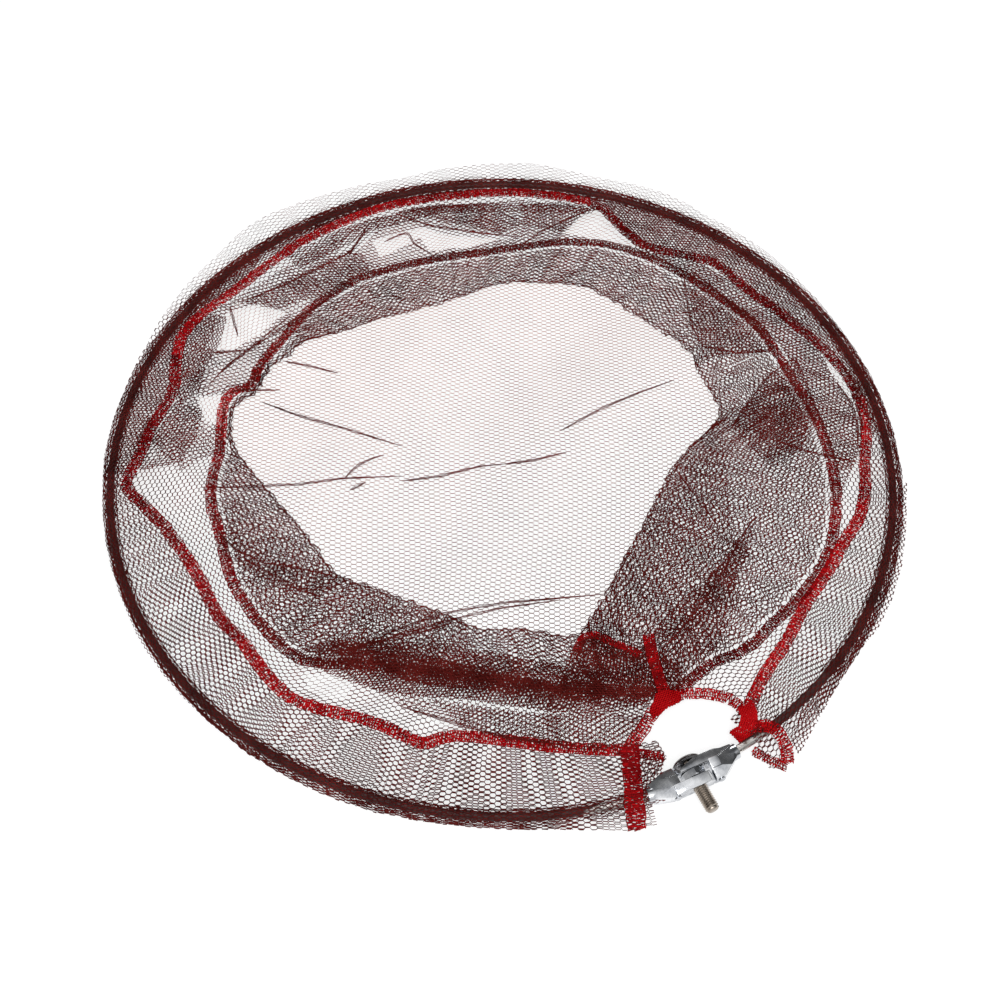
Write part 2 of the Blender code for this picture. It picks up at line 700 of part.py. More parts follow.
def make_lower_band():
    def section(degrees):
        band = lower_band_radius(degrees)
        return flat_section(band - TAPE_WIDTH / 2, band + TAPE_WIDTH / 2, height(5) - GAP / 2)
    return finish(ring_loft("lower_band", section, full_turn(), True), RED_TAPE)


def cutout_radius(degrees):
    """Distance from the hoop's centre to the cut-out's edge, or None outside it."""
    angle = math.radians(degrees)
    ray = Vector((math.cos(angle), math.sin(angle)))
    path = from_hoop(CUTOUT_PATH)
    for (x0, y0), (x1, y1) in zip(path, path[1:]):
        edge = Vector((x1 - x0, y1 - y0))
        turn = ray.cross(edge)
        if abs(turn) < 1e-9:
            continue
        share = Vector((x0, y0)).cross(ray) / turn
        if 0 <= share <= 1 and ray.y < 0:
            return Vector((x0, y0)).cross(edge) / turn
    return None


def upper_wall_section(degrees):
    inner = lower_band_radius(degrees) - TAPE_WIDTH / 2
    cut = cutout_radius(degrees)
    outer = upper_band_radius(degrees) + TAPE_WIDTH / 2 if cut is None else cut
    bottom = height(4) - GAP / 2
    width = outer - inner
    sag = min(SAG_MOST, max(0.0, width - 3 * TAPE_WIDTH) * SAG_SHARE)
    under = [(inner, bottom), (inner + TAPE_WIDTH, bottom),
             (inner + width * SAG_FROM, bottom - sag), (inner + width * SAG_TO, bottom - sag),
             (outer - TAPE_WIDTH, bottom), (outer, bottom)]
    if sag == 0.0:
        under = [(inner + width * i / 5, bottom) for i in range(6)]
    return under + [(r, z + NET_THICKNESS) for r, z in reversed(under)]


def wall_openings():
    """One opening for each step round the upper wall, where it is wide enough."""
    loops = []
    for k in range(round(360 / WALL_OPENING)):
        start = k * WALL_OPENING
        if PLAIN_FROM - WALL_OPENING < start < PLAIN_TO:
            continue
        bar = math.degrees(WALL_STRIP / 2 / HOOP_RADIUS)
        angles = even_angles(start + bar, start + WALL_OPENING - bar)
        reach = TAPE_WIDTH / 2 + WALL_STRIP / 2
        inner = [lower_band_radius(a) + reach for a in angles]
        outer = [upper_band_radius(a) - reach for a in angles]
        if min(o - i for i, o in zip(inner, outer)) < WALL_OPENING_LEAST:
            continue
        run = [on_ring(r, a, 0) for r, a in zip(inner, angles)]
        run += [on_ring(r, a, 0) for r, a in zip(reversed(outer), reversed(angles))]
        loops.append([(x, y) for x, y, _ in run])
    return loops


def make_upper_wall():
    notch = [math.degrees(math.atan2(y, x)) % 360 for x, y in from_hoop(CUTOUT_PATH)]
    first, last = notch[0], notch[-1]
    rest = [a for a in full_turn() if not first - NOTCH_REACH < a < last + NOTCH_REACH]
    edges = [first - e for e in NOTCH_EDGES] + [last + e for e in NOTCH_EDGES]
    middle = (first + last) / 2
    inside = [a + (NOTCH_NUDGE if a < middle else -NOTCH_NUDGE) for a in notch]
    angles = sorted(rest + edges + inside)
    wall = ring_loft("upper_wall_net", upper_wall_section, angles, True)
    place = Matrix.Translation((0, 0, height(4)))
    openings = outlines("upper wall openings", wall_openings(), SAG_MOST + LAYER, place)
    boolean(wall, openings, "DIFFERENCE")
    return finish(wall, MESH_CLOTH)


def make_lower_wall():
    """The lower wall lies folded: out from its fold on the bottom panel and back under."""
    def section(degrees):
        fold = wall_fold_radius(degrees)
        band = lower_band_radius(degrees)
        rim = band - RIM_INSET
        low = height(1)
        high = low + NET_THICKNESS + FOLD_SPACE
        return [(rim, low), (fold, low), (fold, high + NET_THICKNESS),
                (band + TAPE_WIDTH / 2, high + NET_THICKNESS), (band + TAPE_WIDTH / 2, high),
                (fold + NET_THICKNESS, high), (fold + NET_THICKNESS, low + NET_THICKNESS),
                (rim, low + NET_THICKNESS)]
    return finish(ring_loft("lower_wall_net", section, full_turn(), True), MESH_CLOTH)


def grid_openings():
    """A plain grid of openings in the bottom panel. Those at the rim are drawn in to it."""
    widest = HOOP_RADIUS - min(LOWER_BAND_INSETS) / 1000 - RIM_INSET
    pitch = 2 * widest / GRID_COUNT
    half = (pitch - GRID_STRIP) / 2

    def fits(point):
        rim = lower_band_radius(math.degrees(math.atan2(point.y, point.x)) % 360) - RIM_INSET
        return point.length < rim - GRID_STRIP

    loops = []
    for i in range(GRID_COUNT):
        for j in range(GRID_COUNT):
            middle = Vector((i + 0.5 - GRID_COUNT / 2, j + 0.5 - GRID_COUNT / 2)) * pitch
            if not fits(middle):
                continue
            corners = [middle + Vector((half * x, half * y))
                       for x, y in ((-1, -1), (1, -1), (1, 1), (-1, 1))]
            drawn = [drawn_in(corner, middle, fits) for corner in corners]
            loops.append([(p.x, RING_Y + p.y) for p in drawn])
    return loops


def drawn_in(point, middle, fits):
    """The farthest place from the middle to the point that fits."""
    if fits(point):
        return point
    low, high = 0.0, 1.0
    for _ in range(GRID_COUNT):
        half = (low + high) / 2
        low, high = (half, high) if fits(middle.lerp(point, half)) else (low, half)
    return middle.lerp(point, low)


def make_bottom():
    """The round panel that closes the bag, flat on the ground."""
    points = []
    for degrees in full_turn():
        x, y, _ = on_ring(lower_band_radius(degrees) - RIM_INSET, degrees, 0.0)
        points.append((x, y))
    place = Matrix.Translation((0, 0, FLOOR + NET_THICKNESS / 2))
    loops = [points] + grid_openings()
    return finish(outlines("bottom_net", loops, NET_THICKNESS / 2, place), MESH_CLOTH)


def strip(name, path, width, bottom):
    """A flat strip along a path of points round the hoop's centre."""
    left, right = [], []
    for i, (x, y) in enumerate(path):
        x0, y0 = path[max(i - 1, 0)]
        x1, y1 = path[min(i + 1, len(path) - 1)]
        across = Vector((y0 - y1, x1 - x0)).normalized() * width / 2
        left.append((x + across.x, RING_Y + y + across.y))
        right.append((x - across.x, RING_Y + y - across.y))
    place = Matrix.Translation((0, 0, bottom + NET_THICKNESS / 2))
    return finish(outline(name, left + right[::-1], NET_THICKNESS / 2, place), RED_TAPE)


def make_cutout_tape():
    inset = []
    for x, y in from_hoop(CUTOUT_PATH):
        point = Vector((x, y))
        inset.append(tuple(point * (1 - TAPE_WIDTH / 2 / point.length)))
    return strip("cutout_tape", inset, TAPE_WIDTH, height(6) - GAP / 2)


def make_seam_strap():
    return strip("seam_strap", from_hoop(STRAP_PATH), STRAP_WIDTH, height(7) - GAP / 2)


clear_scene()
PARTS = new_collection("landing_net_head")
CUTTERS = new_collection("cutters")

make_rod(-1, "rod_left")
make_rod(1, "rod_right")
make_hinge_rivet()
make_arm(-1, -1, "arm_left")
make_arm(1, 1, "arm_right")
make_rod_pin(-1, "rod_pin_left")
make_rod_pin(1, "rod_pin_right")
make_handle_screw()
make_lock_nut()
make_sleeve()
make_end_tape("sleeve_tape_left", sleeve_end() - end_tape_angle(), sleeve_end())
make_end_tape("sleeve_tape_right", sleeve_start(), sleeve_start() + end_tape_angle())
make_upper_band()
make_upper_wall()
make_lower_band()
make_lower_wall()
make_bottom()
make_cutout_tape()
make_seam_strap()
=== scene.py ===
# Looks for a folding landing-net head: a wire hoop, a cast yoke and a fine mesh bag that lies
# collapsed on the ground. The frame comes packed, in metres, with the hoop in the plane z = 0.
import math

import bpy
import numpy as np
from mathutils import Matrix, Vector
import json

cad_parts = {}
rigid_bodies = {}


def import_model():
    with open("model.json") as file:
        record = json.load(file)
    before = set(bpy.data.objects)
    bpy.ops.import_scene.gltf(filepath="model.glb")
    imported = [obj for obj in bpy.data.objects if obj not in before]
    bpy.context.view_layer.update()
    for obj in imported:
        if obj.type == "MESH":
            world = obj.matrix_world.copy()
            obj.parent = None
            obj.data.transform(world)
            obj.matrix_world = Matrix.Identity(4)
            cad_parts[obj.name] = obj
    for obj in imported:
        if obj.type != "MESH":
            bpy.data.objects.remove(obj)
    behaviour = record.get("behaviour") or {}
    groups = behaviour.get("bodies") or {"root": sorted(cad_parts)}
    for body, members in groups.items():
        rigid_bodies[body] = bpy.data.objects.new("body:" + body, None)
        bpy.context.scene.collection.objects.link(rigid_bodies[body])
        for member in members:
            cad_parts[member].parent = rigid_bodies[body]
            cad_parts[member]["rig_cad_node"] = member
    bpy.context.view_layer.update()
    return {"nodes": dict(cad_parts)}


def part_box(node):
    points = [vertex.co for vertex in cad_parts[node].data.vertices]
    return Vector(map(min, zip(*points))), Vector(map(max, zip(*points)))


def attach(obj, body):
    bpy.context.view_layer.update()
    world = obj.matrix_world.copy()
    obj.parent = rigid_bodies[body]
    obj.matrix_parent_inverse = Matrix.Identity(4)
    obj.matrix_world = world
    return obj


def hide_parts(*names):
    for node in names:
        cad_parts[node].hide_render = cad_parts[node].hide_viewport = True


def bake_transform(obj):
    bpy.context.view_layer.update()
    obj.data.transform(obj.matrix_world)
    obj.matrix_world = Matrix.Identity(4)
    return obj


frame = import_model()
print("frame loaded")

mm = 0.001

# where the camera stands
cameraSetup = {
    "azimuth": -25.3,
    "elevation": 54.5,
    "roll": 0.77,
    "lens": 50.4,
    "sensor": 36,
    "picture": 1000,                       # its width and height, in pixels
    "hoopCentre": (0.0, 272.0, 0.0),
    "centreSeen": (2.39, 33.07, 904.16),   # right, up and away from the lens, to the hoop's centre
}


def cameraAxes():
    turn = math.radians(cameraSetup["azimuth"])
    rise = math.radians(cameraSetup["elevation"])
    roll = math.radians(cameraSetup["roll"])
    side = np.array((math.cos(turn), math.sin(turn), 0.0))
    toward = np.array((math.sin(turn), -math.cos(turn), 0.0))
    top = np.array((0.0, 0.0, 1.0))
    forward = -math.cos(rise) * toward - math.sin(rise) * top
    upright = -math.sin(rise) * toward + math.cos(rise) * top
    right = math.cos(roll) * side + math.sin(roll) * upright
    up = -math.sin(roll) * side + math.cos(roll) * upright
    return right, up, forward, toward


camRight, camUp, camForward, groundToward = cameraAxes()
hoopCentre = np.array(cameraSetup["hoopCentre"]) * mm
camPlace = hoopCentre - mm * sum(
    part * axis for part, axis in zip(cameraSetup["centreSeen"], (camRight, camUp, camForward)))
slant = 1 / math.tan(math.radians(cameraSetup["elevation"]))
focal = cameraSetup["lens"] / cameraSetup["sensor"] * cameraSetup["picture"]
pictureMiddle = cameraSetup["picture"] / 2


def fromPicture(px, py, z):
    # the point at height z (mm) that the camera sees at that place of its picture
    ray = (camRight * (px - pictureMiddle) / focal + camUp * (pictureMiddle - py) / focal
           + camForward)
    return camPlace + ray * ((z * mm - camPlace[2]) / ray[2])


def toPicture(points):
    # where the camera sees world points
    away = points - camPlace
    depth = away @ camForward
    return np.stack([pictureMiddle + focal * (away @ camRight) / depth,
                     pictureMiddle - focal * (away @ camUp) / depth], -1)


def makeCamera():
    data = bpy.data.cameras.new("camera")
    data.lens = cameraSetup["lens"]
    data.sensor_width = cameraSetup["sensor"]
    data.clip_start = 0.01
    data.clip_end = 50
    cam = bpy.data.objects.new("camera", data)
    bpy.context.scene.collection.objects.link(cam)
    columns = np.stack([camRight, camUp, -camForward], axis=1)
    matrix = Matrix([list(row) for row in columns]).to_4x4()
    cam.matrix_world = Matrix.Translation(Vector(camPlace)) @ matrix
    bpy.context.scene.camera = cam


makeCamera()
print("camera set")

# floor, backdrop and light
studio = {
    "floorZ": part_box("handle_screw")[0].z,
    "floorSize": 14.0,
    "floorColour": 0.36,
    "floorLift": 0.74,          # what the floor adds for the camera, so that it reads as white
    "skyLow": 0.10,             # beyond the object, so that the casting's upper faces go dark
    "skyHigh": 0.95,            # over the camera
    "skyFrom": 0.40,            # where it climbs between the two: the cosine of the angle to
    "skyTo": 0.85,              # the camera
    "frontPower": 20.0,
    "backPower": 6.0,
}


def nodesOf(owner):
    owner.use_nodes = True
    owner.node_tree.nodes.clear()
    return owner.node_tree


def addNode(tree, kind, inputs, **options):
    # a shader node whose inputs are filled with values, or linked to other nodes' outputs
    node = tree.nodes.new("ShaderNode" + kind)
    for key, value in options.items():
        setattr(node, key, value)
    for key, value in inputs.items():
        if isinstance(value, bpy.types.NodeSocket):
            tree.links.new(value, node.inputs[key])
        else:
            node.inputs[key].default_value = value
    return node


def seenOrMirrored(tree):
    # 1 for what the camera, a reflection or a transparency sees, and 0 for light that falls
    path = addNode(tree, "LightPath", {})
    total = path.outputs["Is Camera Ray"]
    for name in ("Is Glossy Ray", "Is Transmission Ray"):
        total = addNode(tree, "Math", {0: total, 1: path.outputs[name]},
                        operation="MAXIMUM").outputs[0]
    return total


def makeFloor():
    bpy.ops.mesh.primitive_plane_add(size=studio["floorSize"],
                                     location=(0, 0.27, studio["floorZ"] - 0.0001))
    floor = bpy.context.active_object
    floor.name = "floor"
    paint = bpy.data.materials.new("white floor")
    tree = nodesOf(paint)
    diffuse = addNode(tree, "BsdfDiffuse", {"Color": (*[studio["floorColour"]] * 3, 1)})
    lift = addNode(tree, "Math", {0: seenOrMirrored(tree), 1: studio["floorLift"]},
                   operation="MULTIPLY")
    glow = addNode(tree, "Emission", {"Strength": lift.outputs[0]})
    both = addNode(tree, "AddShader", {0: diffuse.outputs[0], 1: glow.outputs[0]})
    addNode(tree, "OutputMaterial", {"Surface": both.outputs[0]})
    floor.data.materials.append(paint)


def makeSky():
    world = bpy.data.worlds.new("studio")
    bpy.context.scene.world = world
    tree = nodesOf(world)
    where = addNode(tree, "TexCoord", {})
    toCamera = addNode(tree, "VectorMath",
                       {0: where.outputs["Generated"], 1: tuple(-camForward)},
                       operation="DOT_PRODUCT")
    climb = addNode(tree, "MapRange",
                    {"Value": toCamera.outputs["Value"], "From Min": studio["skyFrom"],
                     "From Max": studio["skyTo"], "To Min": studio["skyLow"],
                     "To Max": studio["skyHigh"]}, interpolation_type="SMOOTHSTEP")
    soft = addNode(tree, "Background",
                   {"Color": (1, 1, 1, 1), "Strength": climb.outputs["Result"]})
    white = addNode(tree, "Background", {"Color": (1, 1, 1, 1), "Strength": 1.0})
    path = addNode(tree, "LightPath", {})
    mix = addNode(tree, "MixShader", {0: path.outputs["Is Camera Ray"], 1: soft.outputs[0],
                                      2: white.outputs[0]})
    addNode(tree, "OutputWorld", {"Surface": mix.outputs[0]})


def makeLamp(name, place, aim, size, power):
    data = bpy.data.lights.new(name, "AREA")
    data.shape = "RECTANGLE"
    data.size, data.size_y = size
    data.energy = power
    lamp = bpy.data.objects.new(name, data)
    bpy.context.scene.collection.objects.link(lamp)
    lamp.location = place
    lamp.visible_camera = False
    lamp.rotation_euler = (Vector(aim) - Vector(place)).to_track_quat("-Z", "Y").to_euler()


makeFloor()
makeSky()
makeLamp("front softbox", (-0.55, -0.75, 1.75), (0, 0.2, 0), (1.3, 0.9), studio["frontPower"])
makeLamp("back softbox", (1.0, 1.7, 1.2), (0, 0.2, 0), (0.9, 0.6), studio["backPower"])
bpy.context.scene.view_settings.view_transform = "Standard"
print("studio lit")

# the finishes, each between two tones
finishes = {
    "wallThread": {"dark": (0.055, 0.006, 0.005), "light": (0.215, 0.023, 0.019)},
    "sleeveThread": {"dark": (0.052, 0.008, 0.007), "light": (0.200, 0.027, 0.024)},
    "bottomThread": {"dark": (0.150, 0.066, 0.060), "light": (0.330, 0.185, 0.172),
                     "farDark": (0.460, 0.230, 0.205), "farLight": (0.760, 0.520, 0.480)},
    "redYarn": {"dark": (0.300, 0.001, 0.002), "light": (0.640, 0.010, 0.014)},
    # the red yarn again, made darker: painted shade for where the bands lie in shade or under net
    "paintedShadeYarn": {"dark": (0.120, 0.001, 0.002), "light": (0.330, 0.008, 0.010)},
    "deepPaintedShadeYarn": {"dark": (0.045, 0.001, 0.001), "light": (0.150, 0.005, 0.005)},
}


def patternSpace(tree, scale=(1, 1, 1)):
    where = addNode(tree, "TexCoord", {}).outputs["Object"]
    return addNode(tree, "Mapping", {"Scale": scale, "Vector": where}).outputs["Vector"]


def noiseAt(tree, vector, scale, detail):
    return addNode(tree, "TexNoise",
                   {"Scale": scale, "Detail": detail, "Vector": vector}).outputs["Fac"]


def twoTone(tree, factor, dark, light, low=0.35, high=0.65):
    ramp = addNode(tree, "ValToRGB", {"Fac": factor})
    for element, place, tone in zip(ramp.color_ramp.elements, (low, high), (dark, light)):
        element.position = place
        element.color = (*tone, 1)
    return ramp.outputs["Color"]


def blended(tree, factor, first, second):
    # the two colours are the node's seventh and eighth inputs, and the colour its third output
    return addNode(tree, "Mix", {"Factor": factor, 6: first, 7: second},
                   data_type="RGBA").outputs[2]


def surfaced(tree, inputs, height, strength, distance):
    bump = addNode(tree, "Bump", {"Strength": strength, "Distance": distance, "Height": height})
    shader = addNode(tree, "BsdfPrincipled", {**inputs, "Normal": bump.outputs["Normal"]})
    addNode(tree, "OutputMaterial", {"Surface": shader.outputs[0]})


def threadMaterial(name, tones, roughness):
    # spun thread: blotches where the light comes through, and the filaments' own fine grain
    made = bpy.data.materials.new(name)
    tree = nodesOf(made)
    vector = patternSpace(tree)
    blotch = noiseAt(tree, vector, 45.0, 3.0)
    grain = noiseAt(tree, vector, 1400.0, 1.0)
    both = addNode(tree, "Mix", {"Factor": 0.45, "A": blotch, "B": grain}).outputs["Result"]
    colour = twoTone(tree, both, tones["dark"], tones["light"])
    if "farDark" in tones:
        # light through the slack panel washes its far side out
        pale = twoTone(tree, both, tones["farDark"], tones["farLight"])
        split = addNode(tree, "SeparateXYZ", {0: vector})
        reach = addNode(tree, "MapRange", {"Value": split.outputs["Y"], "From Min": 0.13,
                                           "From Max": 0.40}, interpolation_type="SMOOTHSTEP")
        colour = blended(tree, reach.outputs["Result"], colour, pale)
    surfaced(tree, {"Roughness": roughness, "Specular IOR Level": 0.02, "Base Color": colour},
             grain, 0.35, 0.0001)
    return made


def metalMaterial(name, dark, light, roughness, grainScale, bump, stretch=(1, 1, 1), spots=None):
    made = bpy.data.materials.new(name)
    tree = nodesOf(made)
    vector = patternSpace(tree)
    cloud = noiseAt(tree, vector, 110.0, 4.0)
    grain = noiseAt(tree, patternSpace(tree, stretch), grainScale, 3.0)
    colour = twoTone(tree, cloud, dark, light, 0.30, 0.62)
    if spots:
        pits = noiseAt(tree, vector, 520.0, 2.0)
        mask = twoTone(tree, pits, (0, 0, 0), (1, 1, 1), 0.60, 0.70)
        colour = blended(tree, mask, colour, (*spots, 1))
    rough = addNode(tree, "MapRange", {"To Min": roughness * 0.75, "To Max": roughness * 1.3,
                                       "Value": grain})
    surfaced(tree, {"Metallic": 1.0, "Base Color": colour, "Roughness": rough.outputs["Result"]},
             grain, bump, 0.0002)
    return made


wallThread = threadMaterial("wall thread", finishes["wallThread"], 0.80)
sleeveThread = threadMaterial("sleeve thread", finishes["sleeveThread"], 0.80)
bottomThread = threadMaterial("bottom thread", finishes["bottomThread"], 0.80)
redYarn = threadMaterial("red yarn", finishes["redYarn"], 0.85)
# darker copies of the red yarn, which paint the shade on the bands and tapes
paintedShadeYarn = threadMaterial("red yarn in painted shade", finishes["paintedShadeYarn"], 0.85)
deepPaintedShadeYarn = threadMaterial("red yarn in deep painted shade", finishes["deepPaintedShadeYarn"], 0.85)
castZinc = metalMaterial("cast zinc", (0.29, 0.305, 0.335), (0.82, 0.83, 0.85), 0.17, 900, 0.10)
headSteel = metalMaterial("head steel", (0.085, 0.08, 0.08), (0.21, 0.20, 0.20), 0.26, 700, 0.10)
rodSteel = metalMaterial("steel rod", (0.52, 0.49, 0.46), (0.86, 0.84, 0.82), 0.30, 500, 0.15,
                         (1, 1, 8), (0.20, 0.15, 0.12))
screwSteel = metalMaterial("plated steel", (0.22, 0.18, 0.145), (0.50, 0.44, 0.38), 0.32, 700,
                           0.12, (1, 4, 1))


def lacquerRod(made):
    # dark brown lacquer all round, worn off where the rod shows beside the yoke
    tree = made.node_tree
    steel = next(n for n in tree.nodes if n.type == "BSDF_PRINCIPLED")
    out = next(n for n in tree.nodes if n.type == "OUTPUT_MATERIAL")
    where = addNode(tree, "TexCoord", {}).outputs["Object"]
    split = addNode(tree, "SeparateXYZ", {0: where})
    wear = noiseAt(tree, where, 260.0, 3.0)
    shift = addNode(tree, "Math", {0: wear, 1: 0.004, 2: split.outputs["Y"]},
                    operation="MULTIPLY_ADD")
    edge = addNode(tree, "MapRange", {"From Min": 0.0285, "From Max": 0.0300,
                                      "Value": shift.outputs[0]})
    tone = twoTone(tree, wear, (0.030, 0.009, 0.008), (0.062, 0.021, 0.018))
    lacquer = addNode(tree, "BsdfPrincipled",
                      {"Roughness": 0.45, "Specular IOR Level": 0.3, "Base Color": tone})
    mix = addNode(tree, "MixShader",
                  {0: edge.outputs["Result"], 1: steel.outputs[0], 2: lacquer.outputs[0]})
    tree.links.new(mix.outputs[0], out.inputs["Surface"])


lacquerRod(rodSteel)
print("materials made")

for finish, nodes in ((rodSteel, ("rod_left", "rod_right", "hinge_rivet")),
                      (castZinc, ("arm_left", "arm_right", "lock_nut", "rod_pin_left",
                                  "rod_pin_right")), (screwSteel, ("handle_screw",))):
    for node in nodes:
        frame["nodes"][node].data.materials.clear()
        frame["nodes"][node].data.materials.append(finish)

# the casting and its screw
casting = {"edge": 0.38 * mm, "sharp": 20.0, "smoothBelow": 35.0, "bore": 4.25 * mm}


def onlySelect(obj):
    bpy.ops.object.select_all(action="DESELECT")
    obj.select_set(True)
    bpy.context.view_layer.objects.active = obj


def roundEdges(obj):
    bevel = obj.modifiers.new("edge", "BEVEL")
    bevel.width = casting["edge"]
    bevel.segments = 3
    bevel.limit_method = "ANGLE"
    bevel.angle_limit = math.radians(casting["sharp"])
    bpy.ops.object.modifier_apply(modifier=bevel.name)
    bpy.ops.object.shade_smooth_by_angle(angle=math.radians(casting["smoothBelow"]))


def softEdged(node, name):
    # a copy of a casting whose edges are rounded over, as a mould leaves them
    onlySelect(frame["nodes"][node])
    bpy.ops.object.duplicate()
    copy = bpy.context.active_object
    copy.name = name
    del copy["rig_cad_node"]
    bpy.ops.object.mode_set(mode="EDIT")
    bpy.ops.mesh.select_all(action="SELECT")
    bpy.ops.mesh.remove_doubles(threshold=0.00001)
    bpy.ops.mesh.dissolve_limited(angle_limit=math.radians(0.8))
    bpy.ops.object.mode_set(mode="OBJECT")
    roundEdges(copy)
    return copy


# faces that stand proud on the arms, in mm: two corners, and planes (place, normal) that trim
# them off the block between
cheeks = {
    "armRight": (((-7.0, 24.3, 1.0), (25.5, 30.0, 6.0),
                  (((4.0, 30.0, 6.0), (-3.4, 10.6, 0.0)), ((14.0, 30.0, 6.0), (2.6, 0.0, 12.5)),
                   ((16.0, 30.0, 6.0), (2.2, 10.5, 0.0)))),
                 ((9.7, 18.4, 4.4), (16.0, 25.4, 7.5), (((12.0, 25.4, 7.5), (0.0, -1.9, 7.0)),))),
    "armLeft": (((-14.6, 14.0, 2.6), (7.0, 19.7, 6.3), (((0.0, 19.7, 6.3), (0.0, -1.7, 5.7)),)),),
}


def addCheeks(arm):
    for low, high, trims in cheeks[arm.name]:
        low, high = Vector(low) * mm, Vector(high) * mm
        bpy.ops.object.select_all(action="DESELECT")
        bpy.ops.mesh.primitive_cube_add(size=1, location=(low + high) / 2, scale=high - low)
        block = bpy.context.active_object
        bpy.ops.object.transform_apply(location=True, rotation=False, scale=True)
        bpy.ops.object.mode_set(mode="EDIT")
        for place, normal in trims:
            bpy.ops.mesh.select_all(action="SELECT")
            bpy.ops.mesh.bisect(plane_co=Vector(place) * mm, plane_no=Vector(normal).normalized(),
                                use_fill=True, clear_outer=True)
        bpy.ops.object.mode_set(mode="OBJECT")
        bpy.ops.mesh.primitive_cylinder_add(vertices=48, radius=casting["bore"], depth=60 * mm,
                                            location=(0, 22 * mm, 0),
                                            rotation=(math.pi / 2, 0, 0))
        drill = bpy.context.active_object
        onlySelect(block)
        bore = block.modifiers.new("bore", "BOOLEAN")
        bore.object = drill
        bore.operation = "DIFFERENCE"
        bpy.ops.object.modifier_apply(modifier=bore.name)
        bpy.data.objects.remove(drill)
        roundEdges(block)
        block.data.materials.append(castZinc)
        onlySelect(arm)
        block.select_set(True)
        bpy.ops.object.join()
    return arm


def turnedLine(name, points, offset=0.0, turns=1, steps=36):
    # sweeps a profile, (radius, height) in mm, round the Z axis, with a climb for a thread
    bpy.ops.object.select_all(action="DESELECT")
    bpy.ops.mesh.primitive_plane_add(size=mm, location=(0, 0, 0))
    made = bpy.context.active_object
    made.name = name
    spots = [Vector((r * mm, 0, h * mm)) for r, h in points]
    bpy.ops.object.mode_set(mode="EDIT")
    bpy.ops.mesh.select_all(action="SELECT")
    bpy.ops.mesh.merge(type="CENTER")
    bpy.ops.transform.translate(value=spots[0])
    for here, there in zip(spots, spots[1:]):
        bpy.ops.mesh.extrude_region_move(TRANSFORM_OT_translate={"value": there - here})
    bpy.ops.object.mode_set(mode="OBJECT")
    sweep = made.modifiers.new("sweep", "SCREW")
    sweep.axis = "Z"
    sweep.angle = 2 * math.pi
    sweep.screw_offset = offset * mm
    sweep.iterations = turns
    sweep.steps = sweep.render_steps = steps
    sweep.use_merge_vertices = True
    sweep.merge_threshold = 0.000001
    bpy.ops.object.modifier_apply(modifier=sweep.name)
    return made


# an M8 thread: millimetres, measured from the handle's end of the screw
thread = {"pitch": 1.25, "core": 3.32, "crest": 3.98, "from": 0.55, "turns": 23}
screwHead = ((0.0, 33.9), (2.6, 33.78), (5.0, 33.3), (7.0, 32.45), (8.1, 31.55), (8.45, 31.0),
             (8.45, 30.55), (8.2, 30.35), (4.05, 30.32))


def makeScrew():
    pitch = thread["pitch"]
    ridge = turnedLine("thread", [(thread["core"], 0.0), (thread["core"], 0.14 * pitch),
                                  (thread["crest"], 0.48 * pitch),
                                  (thread["crest"], 0.62 * pitch), (thread["core"], pitch)],
                       pitch, thread["turns"])
    ridge.location.z = thread["from"] * mm
    core = turnedLine("core", [(0.0, 0.02), (2.5, 0.02), (2.9, 0.2), (3.3, 0.75), (3.35, 1.2),
                               (3.35, 30.4)])
    head = turnedLine("head", screwHead, steps=48)
    for piece, finish in ((ridge, screwSteel), (core, screwSteel), (head, headSteel)):
        piece.data.materials.append(finish)
        onlySelect(piece)
        bpy.ops.object.shade_smooth_by_angle(angle=math.radians(40))
    onlySelect(ridge)
    core.select_set(True)
    head.select_set(True)
    bpy.ops.object.join()
    ridge.name = "handleScrew"
    ridge.rotation_euler = (math.radians(-90), 0, 0)
    bpy.ops.object.transform_apply(location=True, rotation=True, scale=True)
    return ridge


armLeft = addCheeks(softEdged("arm_left", "armLeft"))
armRight = addCheeks(softEdged("arm_right", "armRight"))
handleScrew = makeScrew()
for piece, node, body, slot in ((armLeft, "arm_left", "left_half", "cast_arm"),
                                (armRight, "arm_right", "right_half", "cast_arm"),
                                (handleScrew, "handle_screw", "right_half", "plated_screw")):
    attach(piece, body)
    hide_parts(node)
print("casting finished and screw threaded")

# Each line of the bag goes round the hoop: (degrees, millimetres from the hoop's centre), as
# the camera sees it in the hoop's plane.
netLie = {
    "turn": 0.7,
    "sleeveEdge": ((0, 258), (10, 260), (20, 263), (30, 264), (35, 268), (40, 270), (45, 268),
        (50, 267), (55, 270), (60, 274), (70, 271), (75, 270), (80, 266), (90, 270), (95, 272),
        (100, 274), (105, 277), (110, 273), (115, 268), (120, 266), (125, 264), (130, 261),
        (135, 258), (145, 256), (160, 256), (165, 253), (175, 254), (185, 256), (195, 258),
        (205, 259), (210, 260), (225, 261), (240, 260), (250, 262), (255, 265), (260, 271),
        (280, 271), (285, 266), (290, 262), (295, 259), (300, 258), (355, 258)),
}
